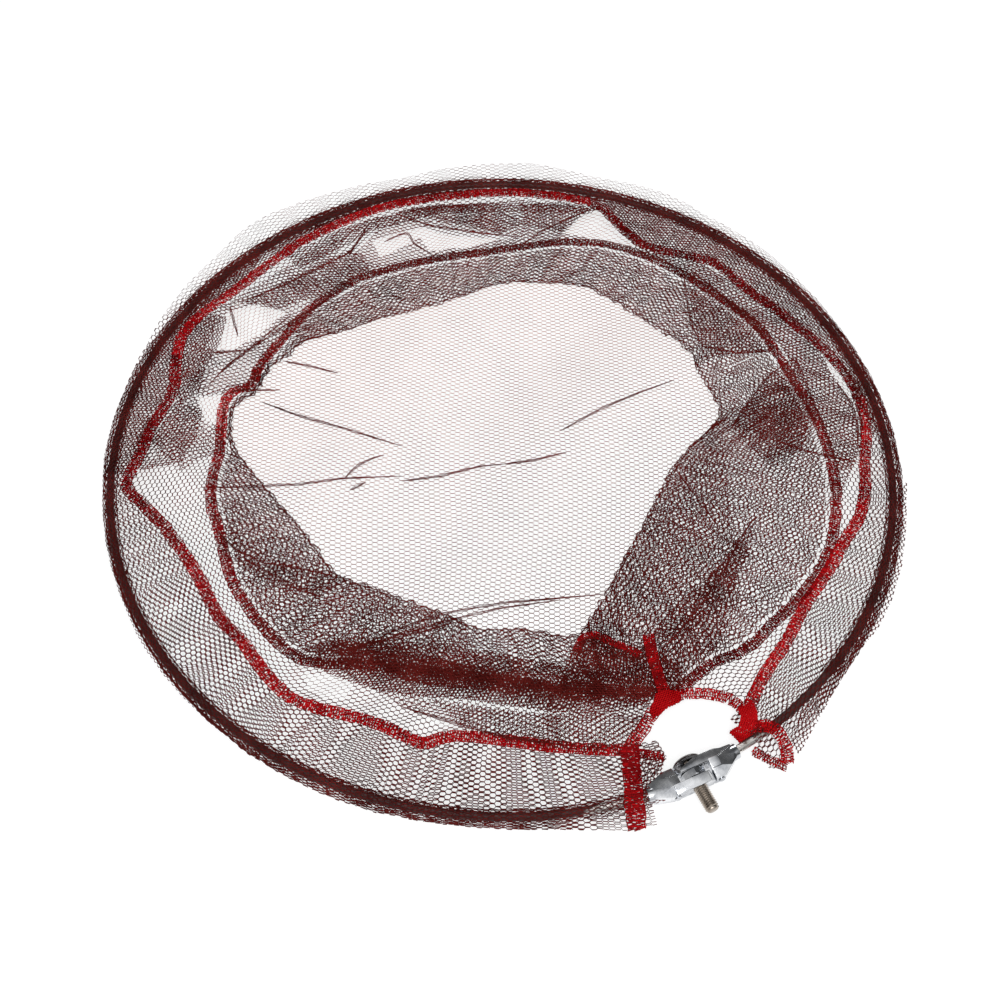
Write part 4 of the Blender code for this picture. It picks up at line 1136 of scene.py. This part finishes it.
# The slack net lies in darker folds. Each is given where the camera sees it: its outline, its
# height in millimetres, how its net is turned, and how much closer its meshes lie.
folds = {
    "betweenRight": {"outline": ((604, 208), (650, 246), (700, 262), (770, 303), (820, 343),
        (856, 392), (866, 440), (852, 468), (838, 470), (815, 405), (780, 345), (722, 297),
        (682, 272), (641, 254)), "z": -0.5, "turn": 24, "cell": (0.95, 0.95),
        "windows": (((822, 347), (838, 356), (856, 392), (849, 398), (830, 372)),)},
    "betweenLeft": {"outline": ((150, 440), (176, 404), (186, 322), (240, 296), (350, 226),
        (420, 206), (520, 203), (597, 206), (600, 240), (560, 242), (474, 253), (388, 271),
        (350, 284), (268, 359), (253, 393), (228, 389), (222, 450), (180, 470)), "z": 0.5,
        "turn": -33, "cell": (0.9, 1.0), "windows": (((232, 309), (262, 304), (288, 312),
        (262, 332), (234, 350), (205, 349), (214, 326)), ((372, 240), (423, 226), (470, 232),
        (522, 236), (470, 246), (430, 252), (420, 238), (380, 258)), ((562, 234), (580, 214),
        (599, 209), (618, 227), (648, 249), (600, 240)), ((196, 396), (222, 392), (222, 430),
        (205, 420)), ((350, 232), (380, 226), (352, 258), (330, 262)))},
    "frontDark": {"outline": ((292, 652), (330, 640), (372, 642), (420, 652), (480, 668),
        (560, 686), (610, 690), (655, 684), (662, 700), (640, 708), (600, 714), (550, 712),
        (480, 700), (420, 696), (370, 688), (325, 672)), "z": -2.2, "turn": 8,
        "cell": (0.62, 0.62)},
    "frontDarkTop": {"outline": ((372, 650), (430, 658), (490, 670), (560, 688), (550, 706),
        (480, 694), (420, 684), (385, 672)), "z": -1.4, "turn": 47, "cell": (0.62, 0.7)},
    "frontLoose": {"outline": ((376, 690), (430, 700), (500, 712), (560, 716), (560, 742),
        (500, 736), (450, 722), (400, 706)), "z": -3.2, "turn": -14, "cell": (0.9, 0.9)},
    "yokeLeft": {"outline": ((580, 640), (600, 634), (625, 645), (648, 640), (656, 668),
        (664, 694), (640, 704), (600, 706), (560, 700), (556, 684), (566, 660)), "z": -1.8,
        "turn": 30, "cell": (0.66, 0.66)},
    "yokeLeftLow": {"outline": ((556, 684), (600, 690), (650, 700), (640, 728), (610, 742),
        (560, 742), (540, 720)), "z": -2.8, "turn": -22, "cell": (0.85, 0.85)},
    "wedgeLeft": {"outline": ((222, 520), (250, 545), (300, 568), (345, 575), (330, 590),
        (285, 592), (240, 566)), "z": -3.0, "turn": 15, "cell": (0.9, 0.9)},
    "cornerLeft": {"outline": ((186, 322), (212, 314), (228, 318), (218, 345), (208, 362),
        (200, 390), (180, 404), (174, 385), (178, 350)), "z": 1.6, "turn": 60, "cell": (0.6, 0.6)},
    "lowLeft": {"outline": ((132, 450), (145, 420), (176, 402), (202, 408), (196, 440), (180, 462),
        (140, 470)), "z": -0.6, "turn": 12, "cell": (0.72, 0.72)},
    "pleatBack": {"outline": ((243, 303), (300, 272), (349, 250), (366, 256), (370, 272),
        (330, 292), (278, 309)), "z": 1.8, "turn": -50, "cell": (0.75, 0.75)},
    "lobeBack": {"outline": ((396, 212), (440, 204), (484, 204), (524, 222), (502, 232),
        (470, 226), (430, 218)), "z": 2.2, "turn": 18, "cell": (0.66, 0.66)},
    "lobeBackRight": {"outline": ((524, 224), (560, 232), (590, 208), (560, 202), (520, 204)),
        "z": 2.2, "turn": 40, "cell": (0.72, 0.72)},
    "rightTop": {"outline": ((686, 275), (730, 300), (768, 330), (776, 352), (740, 352),
        (704, 356), (694, 318)), "z": -2.4, "turn": 5, "cell": (0.72, 0.72)},
    "rightMiddle": {"outline": ((732, 428), (750, 400), (768, 376), (794, 358), (818, 415),
        (802, 448), (772, 468)), "z": -2.2, "turn": 28, "cell": (0.78, 0.78)},
    "rightStripe": {"outline": ((726, 556), (742, 540), (752, 548), (730, 590), (700, 622),
        (664, 650), (650, 640), (668, 612), (700, 584)), "z": -2.0, "turn": -18,
        "cell": (0.75, 0.75)},
    "betweenRightLow": {"outline": ((636, 250), (700, 262), (770, 303), (816, 346), (830, 372),
        (850, 400), (862, 440), (848, 480), (838, 500), (836, 470), (815, 405), (780, 345),
        (722, 297), (682, 270)), "z": -1.4, "turn": -38, "cell": (0.75, 0.8)},
    "rodRight": {"outline": ((606, 203), (660, 212), (720, 236), (780, 276), (832, 328),
        (868, 378), (884, 430), (872, 436), (864, 410), (838, 358), (795, 322), (750, 290),
        (700, 256), (650, 246), (622, 228)), "z": 1.8, "turn": 62, "cell": (0.62, 0.7)},
    "rodLeft": {"outline": ((262, 250), (250, 278), (205, 308), (180, 336), (172, 380), (160, 406),
        (146, 432), (136, 460), (126, 480), (114, 470), (120, 430), (132, 388), (152, 346),
        (190, 296), (225, 268)), "z": 1.6, "turn": -48, "cell": (0.62, 0.7)},
    "backStrip": {"outline": ((285, 256), (340, 230), (372, 218), (430, 206), (520, 200),
        (596, 208), (590, 214), (560, 212), (500, 212), (430, 216), (372, 232), (340, 248),
        (300, 268)), "z": 2.6, "turn": 10, "cell": (0.75, 0.75)},
    "frontDarkThird": {"outline": ((340, 640), (400, 644), (470, 652), (560, 664), (575, 690),
        (560, 700), (480, 690), (400, 682), (340, 672)), "z": -1.0, "turn": -30,
        "cell": (0.75, 0.75)},
    "wallRightExtra": {"outline": ((724, 440), (730, 500), (736, 545), (742, 600), (720, 648),
        (700, 664), (664, 664), (652, 640), (604, 634), (590, 626), (612, 590), (640, 540),
        (668, 490), (700, 452)), "z": -2.6, "turn": 52, "cell": (1.3, 1.25)},
    "rightMiddleUnder": {"outline": ((738, 410), (792, 368), (814, 414), (800, 440), (786, 452),
        (758, 436)), "z": -1.8, "turn": -30, "cell": (0.8, 0.8)},
    "handleEnd": {"outline": ((642, 756), (665, 761), (661, 774), (650, 786), (646, 802),
        (642, 798)), "z": 3.4, "turn": 20, "cell": (0.6, 0.6)},
    "wallLeftExtra": {"outline": ((212, 520), (236, 500), (262, 520), (300, 545), (330, 573),
        (400, 602), (470, 624), (470, 650), (400, 650), (320, 655), (280, 640), (244, 596),
        (226, 556)), "z": -3.4, "turn": 36, "cell": (1.45, 1.4)},
    "frontRoll": {"outline": ((318, 644), (350, 636), (400, 640), (440, 644), (480, 650),
        (550, 664), (600, 672), (600, 704), (550, 710), (500, 705), (450, 696), (415, 697),
        (380, 692), (345, 673), (318, 662)), "z": -0.6, "turn": 64, "cell": (0.72, 0.74)},
    "frontRollCore": {"outline": ((332, 648), (372, 650), (430, 660), (500, 669), (560, 676),
        (620, 684), (620, 700), (560, 700), (500, 692), (430, 684), (390, 677), (350, 666)),
        "z": -0.3, "turn": -52, "cell": (0.6, 0.62)},
    # two layers of net round the strap that paint the shade there
    "strapShadeNet": {"outline": ((574, 644), (600, 634), (640, 650), (655, 645), (676, 664),
        (690, 680), (664, 694), (640, 702), (600, 700), (575, 692), (566, 666)), "z": -2.2,
        "turn": 75, "cell": (0.66, 0.66)},
    "strapShadeNetAgain": {"outline": ((576, 648), (606, 638), (640, 652), (656, 646), (678, 668),
        (686, 680), (664, 692), (640, 700), (602, 696), (572, 688)), "z": -2.6, "turn": -62,
        "cell": (0.7, 0.7)},
    "stripeToBand": {"outline": ((760, 517), (752, 535), (740, 570), (725, 620), (715, 650),
        (692, 676), (668, 684), (655, 662), (670, 635), (690, 610), (725, 555)), "z": -1.7,
        "turn": 70, "cell": (0.86, 0.88)},
    "sleeveEdgeRight": {"outline": ((907, 480), (906, 530), (902, 565), (892, 600), (878, 628),
        (856, 655), (832, 695), (811, 733), (799, 754), (790, 740), (800, 712), (826, 676),
        (856, 634), (876, 598), (889, 556), (893, 505)), "z": -1.2, "turn": 45,
        "cell": (0.72, 0.76)},
    "frontLooseTop": {"outline": ((430, 698), (470, 704), (520, 712), (560, 714), (612, 714),
        (650, 716), (636, 744), (600, 751), (556, 748), (510, 740), (464, 728)), "z": -2.4,
        "turn": 38, "cell": (0.86, 0.86)},
}
creases = {
    "long": ((202, 487), (240, 487), (300, 484), (345, 478), (402, 476)),
    "longEnd": ((402, 481), (440, 476), (480, 466), (504, 464)),
    "longTip": ((504, 464), (535, 460), (566, 452)),
    "upper": ((262, 402), (300, 416), (340, 427), (402, 446)),
    "right": ((560, 431), (580, 420), (602, 408), (640, 392), (674, 380)),
    "front": ((350, 650), (400, 628), (440, 614), (500, 603), (560, 598), (604, 594)),
    "backLeft": ((284, 361), (310, 366), (338, 373)),
    "shortMiddle": ((350, 490), (366, 482)),
    "longFaint": ((345, 478), (356, 466), (372, 458), (384, 455)),
}
# the same on top of the folds, with the height at which each lies
ridges = {
    "topLeft": (((219, 374), (250, 348), (291, 315)), 0.6),
    "topLeftLow": (((213, 353), (245, 350)), 0.2),
    "gore": (((349, 255), (368, 225)), 1.6),
    "hookBack": (((384, 242), (396, 236), (408, 232), (414, 244), (432, 254)), 0.8),
    "slit": (((230, 307), (234, 322), (238, 336)), 0.8),
    "rightUpright": (((684, 276), (687, 300), (692, 326), (702, 345)), -1.6),
    "rightShelf": (((702, 346), (738, 353), (776, 350)), -1.6),
    "rightLow": (((774, 440), (810, 452), (862, 463)), -1.0),
    "rightStripe": (((754, 518), (736, 545), (722, 575), (700, 606), (668, 644)), -1.4),
    "rightSlit": (((838, 384), (851, 402), (858, 424), (858, 448)), -0.2),
    "wallMiddle": (((676, 470), (700, 500), (716, 524)), -3.2),
    "leftWedge": (((216, 530), (236, 550), (262, 562), (300, 568), (338, 577)), -2.6),
    "leftWedgeLow": (((246, 560), (290, 586), (330, 600)), -2.8),
    "pleatLow": (((332, 296), (300, 316), (262, 341), (228, 364), (206, 388)), 1.4),
    "pleatHigh": (((240, 302), (272, 290), (300, 277), (349, 253), (366, 232)), 2.2),
    "lobeLow": (((396, 214), (432, 226), (480, 233), (522, 237)), 2.6),
    "lobeRight": (((520, 246), (545, 229), (590, 209)), 2.6),
    "frontLow": (((400, 706), (450, 722), (510, 738), (560, 744)), -2.8),
    "hookBand": (((228, 393), (236, 390), (258, 390), (280, 390)), -2.2),
    "rightQuad": (((730, 430), (748, 402), (768, 376), (795, 357)), -1.4),
    "rightQuadSide": (((795, 357), (807, 386), (819, 416)), -1.4),
    "rightTopSide": (((688, 268), (716, 290), (746, 318), (777, 350)), -1.6),
    "frontCrease": (((336, 652), (372, 643), (410, 631), (450, 620), (500, 608), (560, 600)),
        -2.0),
    "frontCreaseLow": (((350, 650), (384, 641), (420, 632), (456, 622)), -2.2),
}
creaseSize = {"z": -6.4, "spread": 0.50 * mm, "thread": 0.21 * mm, "lines": 4}


def lineThreads(line, radius):
    return line[:-1], line[1:], np.full(len(line) - 1, radius)


def creaseThreads(pixels, z):
    # a gathered line: some threads side by side that part in the middle and meet at its ends
    line = pixelLine(pixels, [z] * len(pixels), 1.6)
    ahead = np.gradient(line, axis=0)
    side = np.stack([-ahead[:, 1], ahead[:, 0], 0 * ahead[:, 0]], -1)
    side /= np.linalg.norm(side, axis=1, keepdims=True)
    t = np.linspace(0, 1, len(line))
    belly = (np.sin(np.pi * t ** 0.8) ** 0.8)[:, None]
    count = creaseSize["lines"]
    runs = []
    for n in range(count):
        wander = waves(int(pixels[0][0]) + n, 4, (3, 9), (0.5, 1.0))(t, 0 * t)[:, None]
        shift = side * (n - (count - 1) / 2 + 0.35 * wander) * creaseSize["spread"] * belly
        runs.append(lineThreads(line + shift, creaseSize["thread"]))
    return together(*runs)


def makeFolds():
    groups = [netPatch(fold["outline"], fold["z"], fold["turn"], fold["cell"],
                       windows=fold.get("windows", ())) for fold in folds.values()]
    start, end, radius = together(*groups)
    left = (start + end)[:, 0] < 0
    made = [threadMesh(name, (start[pick], end[pick], radius[pick]), wallThread)
            for name, pick in (("netFoldsLeft", left), ("netFoldsRight", ~left))]
    rim = bandPaths["wallFold"]
    edge = lineThreads(pixelLine([*rim, rim[0]], [-6.0] * (len(rim) + 1), 2.0), 0.26 * mm)
    made.append(threadMesh("bottomCreases", together(
        edge, *[creaseThreads(pixels, creaseSize["z"]) for pixels in creases.values()],
        *[creaseThreads(pixels, z) for pixels, z in ridges.values()]), wallThread))
    return made


foldPieces = makeFolds()
print("folds and creases laid")

# the red bands
redBand = {"width": 7.3 * mm, "yarn": 0.33 * mm, "pitch": 2.7 * mm}


def bandYarn(sheet, length, width, pitch, yarn, dense):
    # overlock stitching: yarn that crosses to and fro, and loose loops along it
    count = max(4, int(length / pitch))
    step = 1.0 / count
    rng = np.random.RandomState(count)
    k = np.arange(count)
    runs = []
    for shift in (0.0, 0.5) if not dense else (0.0, 0.25, 0.5, 0.75):
        a = (k + shift + rng.uniform(-0.16, 0.16, count)) * step
        low = width * rng.uniform(0.0, 0.10, count)
        high = width * rng.uniform(0.90, 1.0, count)
        turn = a + rng.uniform(0.35, 0.65, count) * step
        runs.append((np.stack([a, low], 1), np.stack([turn, high], 1)))
        runs.append((np.stack([turn, high], 1), np.stack([a + step, low], 1)))
    for across in (0.06, 0.28, 0.52, 0.75, 0.95):
        level = width * (across + rng.uniform(-0.07, 0.07, count + 1))
        keep = rng.uniform(0, 1, count) < (0.72 if not dense else 0.95)
        runs.append((np.stack([k * step, level[:-1]], 1)[keep],
                     np.stack([(k + 1.1) * step, level[1:]], 1)[keep]))
    pieces = 3                                   # each run is cut, so that it follows the band
    start = np.concatenate([a + (b - a) * q / pieces for a, b in runs for q in range(pieces)])
    end = np.concatenate([a + (b - a) * (q + 1) / pieces for a, b in runs
                          for q in range(pieces)])
    keep = (start[:, 0] >= 0) & (start[:, 0] <= 1) & (end[:, 0] >= 0) & (end[:, 0] <= 1)
    start, end = start[keep], end[keep]
    rise = rng.uniform(-0.1, 0.3, len(start))[:, None] * mm * np.array([[0, 0, 1.0]])
    radius = yarn * rng.uniform(0.7, 1.25, len(start))
    return (mapped(sheet, start[:, 0], start[:, 1]) + rise,
            mapped(sheet, end[:, 0], end[:, 1]) + rise, radius)


def bandThreads(middle, width, yarn, pitch, closed=False, dense=False):
    # a flat band whose middle runs through points in space
    width = np.broadcast_to(width, len(middle))[:, None]
    ahead = np.roll(middle, -1, 0) - np.roll(middle, 1, 0)
    if not closed:
        ahead[0] = middle[1] - middle[0]
        ahead[-1] = middle[-1] - middle[-2]
    out = np.stack([ahead[:, 1], -ahead[:, 0], 0 * ahead[:, 0]], -1)
    out /= np.linalg.norm(out, axis=1, keepdims=True)
    controls = np.stack([middle + out * width * s for s in (-0.5, 0.0, 0.5)], 1)
    sheet = sheetMap(controls, closed, 0.5 * mm)
    length = np.linalg.norm(np.diff(middle, axis=0), axis=1).sum()
    return bandYarn(sheet, length, float(width.mean()), pitch, yarn, dense)


def bandLine(pixels, heightAt):
    # the band's middle, whose height depends on where round the hoop it runs
    flat = [fromPicture(px, py, 0.0) for px, py in pixels]
    phi = hoopPlace(np.array(flat))[0]
    return pixelLine(pixels, heightAt(phi) / mm)


# where shade, or net that lies over them, makes the bands darker, painted as shade into the yarn's
# colour: a box of the picture and a tone, 0 bright, 1 in painted shade and 2 in deep painted
# shade; the first box that fits counts
bandShade = {
    "upper": (((95, 355, 180, 545), 1.4), ((590, 190, 862, 445), 1.7), ((800, 440, 880, 500), 1),
        ((170, 180, 600, 360), 0.55), ((170, 540, 262, 640), 0.9), ((0, 0, 1000, 1000), 0.35)),
    "lower": (((200, 376, 262, 440), 0.2), ((240, 330, 292, 392), 0.2), ((200, 440, 262, 600), 1),
        ((690, 262, 845, 560), 1.1), ((290, 290, 350, 335), 0.9), ((0, 0, 1000, 1000), 1.8)),
}
yarns = (redYarn, paintedShadeYarn, deepPaintedShadeYarn)


def shadeOf(threads, boxes):
    spot = toPicture((threads[0] + threads[1]) / 2)
    tone = np.full(len(spot), -1.0)
    for box, shade in boxes:
        x0, y0, x1, y1 = box
        hit = (spot >= (x0, y0)).all(1) & (spot < (x1, y1)).all(1)
        tone[hit & (tone < 0)] = shade
    return mottled(tone)


def mottled(tone):
    # turns tones such as 0.4 into a mixture of the two yarns between which they lie
    chance = np.random.RandomState(len(tone) % 997).uniform(-0.1, 1.1, len(tone))
    return np.clip(np.floor(tone + chance), 0, 2).astype(int)


def makeBand(name, lines, shade, flare=0.0):
    # flare is how much wider the band is pulled at the back, where the net hangs from it
    threads = together(*[bandThreads(
        line, redBand["width"] * (1 + flare * backness(hoopPlace(line)[0]) ** 3),
        redBand["yarn"], redBand["pitch"]) for line in lines])
    return threadMesh(name, threads, redYarn, 4, yarns[1:], shadeOf(threads, bandShade[shade]))


lowerRed = makeBand("lowerBandTape", [bandLine(
    [*bandPaths["lower"], *bandPaths["lower"][:2]],
    lambda phi: np.full(len(phi), floorZ + 5.2 * mm))], "lower")
upperRed = makeBand("upperBandTape", [
    bandLine(bandPaths[side], lambda phi: upperBandZ(phi) + 0.7 * mm)
    for side in ("upperRight", "upperLeft")], "upper", 0.35)

# the tape of the sleeve's two ends, of the cut-out at the yoke and of the seam that meets it; each
# tape's tone mixes in the yarns of painted shade, as for the bands
edgeTapes = {
    "sleeveTapeLeft": {"width": 11.0, "dense": True, "pitch": 3.4, "tone": 0.9,
        "line": ((629, 745), (631, 762), (633, 782), (634, 796), (635, 808), (637, 831)),
        "heights": (-3.4, -1.0, 2.6, 4.4, 3.0, -6.0)},
    "sleeveTabLeft": {"width": 5.8, "pitch": 3.0, "tone": 1, "line": ((632, 752), (648, 754),
        (665, 758)), "heights": (-2.6, -2.4, -2.2)},
    "sleeveTapeRight": {"width": 7.8, "pitch": 2.6, "tone": 0.4, "line": ((756, 726), (768, 725),
        (778, 730), (784, 742), (788, 754), (787, 764)),
        "heights": (1.5, 4.0, 3.8, 0.0, -4.0, -6.8)},
    "sleeveHemRight": {"width": 6.2, "pitch": 2.8, "tone": 0.7, "line": ((787, 767), (776, 763),
        (764, 757), (752, 750)), "heights": (-7.4, -6.8, -6.2, -5.4)},
    "cutoutTapeLeft": {"width": 7.8, "pitch": 3.0, "tone": 0.4, "line": ((629, 748), (636, 738),
        (646, 725), (653, 712), (664, 701)), "heights": (-3.4, -3.2, -2.8, -2.4, -2.0)},
    "cutoutTapeRight": {"width": 7.6, "pitch": 2.8, "tone": 0.4, "line": ((664, 701), (680, 694),
        (700, 693), (722, 696), (736, 702), (745, 712)),
        "heights": (-2.0, -2.2, -2.6, -2.8, -2.6, -2.0)},
    "seamStrap": {"width": 7.2, "dense": True, "pitch": 3.4, "tone": 0.9, "line": ((648, 634),
        (651, 650), (656, 668), (662, 686), (666, 698)),
        "heights": (-1.2, -1.0, -0.8, -0.6, -0.4)},
    "seamCurl": {"width": 4.8, "pitch": 2.8, "tone": 0.8, "line": ((576, 652), (582, 637),
        (594, 634), (610, 641), (630, 650), (640, 655)),
        "heights": (-2.6, -2.2, -2.0, -2.0, -1.8, -1.6)},
}
knots = {
    "knotLeft": {"outline": ((656, 694), (666, 690), (682, 692), (680, 702), (668, 707),
        (660, 714), (653, 718), (650, 710)), "z": 0.4},
    "knotRight": {"outline": ((737, 708), (752, 702), (757, 711), (758, 722), (772, 724),
        (771, 732), (757, 738), (748, 742), (741, 745), (736, 739), (729, 732), (739, 726),
        (741, 716)), "z": 1.0},
}


def makeTapes():
    made = {}
    for name, tape in edgeTapes.items():
        line = pixelLine(tape["line"], tape["heights"])
        threads = bandThreads(line, tape["width"] * mm, redBand["yarn"], tape["pitch"] * mm,
                              dense=tape.get("dense", False))
        made[name] = threadMesh(name, threads, redYarn, 4, yarns[1:],
                                mottled(np.full(len(threads[0]), tape["tone"])))
    for name, knot in knots.items():
        layers = [netPatch(knot["outline"], knot["z"] - n * 0.7, 20 + 35 * n, (0.5, 0.42), 1.15,
                           rise=0.4) for n in range(3)]
        made[name] = threadMesh(name, together(*layers), redYarn, 4)
    return made


tapePieces = makeTapes()
print("bands and tapes sewn")

# each piece's place goes into its mesh, and the nodes that the pieces stand for are hidden
redPieces = [lowerRed, upperRed, *tapePieces.values()]
bagPieces = [*bottomPieces, *lowerWallPieces, *upperWallPieces, *sleevePieces, *wrapPieces,
             *foldPieces, *redPieces]
for piece in bagPieces:
    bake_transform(piece)

standsFor = {
    "bottom_net": bottomPieces, "lower_wall_net": lowerWallPieces,
    "upper_wall_net": upperWallPieces, "sleeve_net": sleevePieces, "lower_band": [lowerRed],
    "upper_band": [upperRed], "sleeve_tape_left": [tapePieces["sleeveTapeLeft"]],
    "sleeve_tape_right": [tapePieces["sleeveTapeRight"]],
    "cutout_tape": [tapePieces["cutoutTapeLeft"], tapePieces["cutoutTapeRight"]],
    "seam_strap": [tapePieces["seamStrap"]],
}
for node, pieces in standsFor.items():
    for piece in pieces:
        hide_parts(node)


def triangles(obj):
    return sum(len(p.vertices) - 2 for p in obj.data.polygons)


print("triangles", {piece.name: triangles(piece) for piece in bagPieces},
      sum(triangles(piece) for piece in bagPieces))
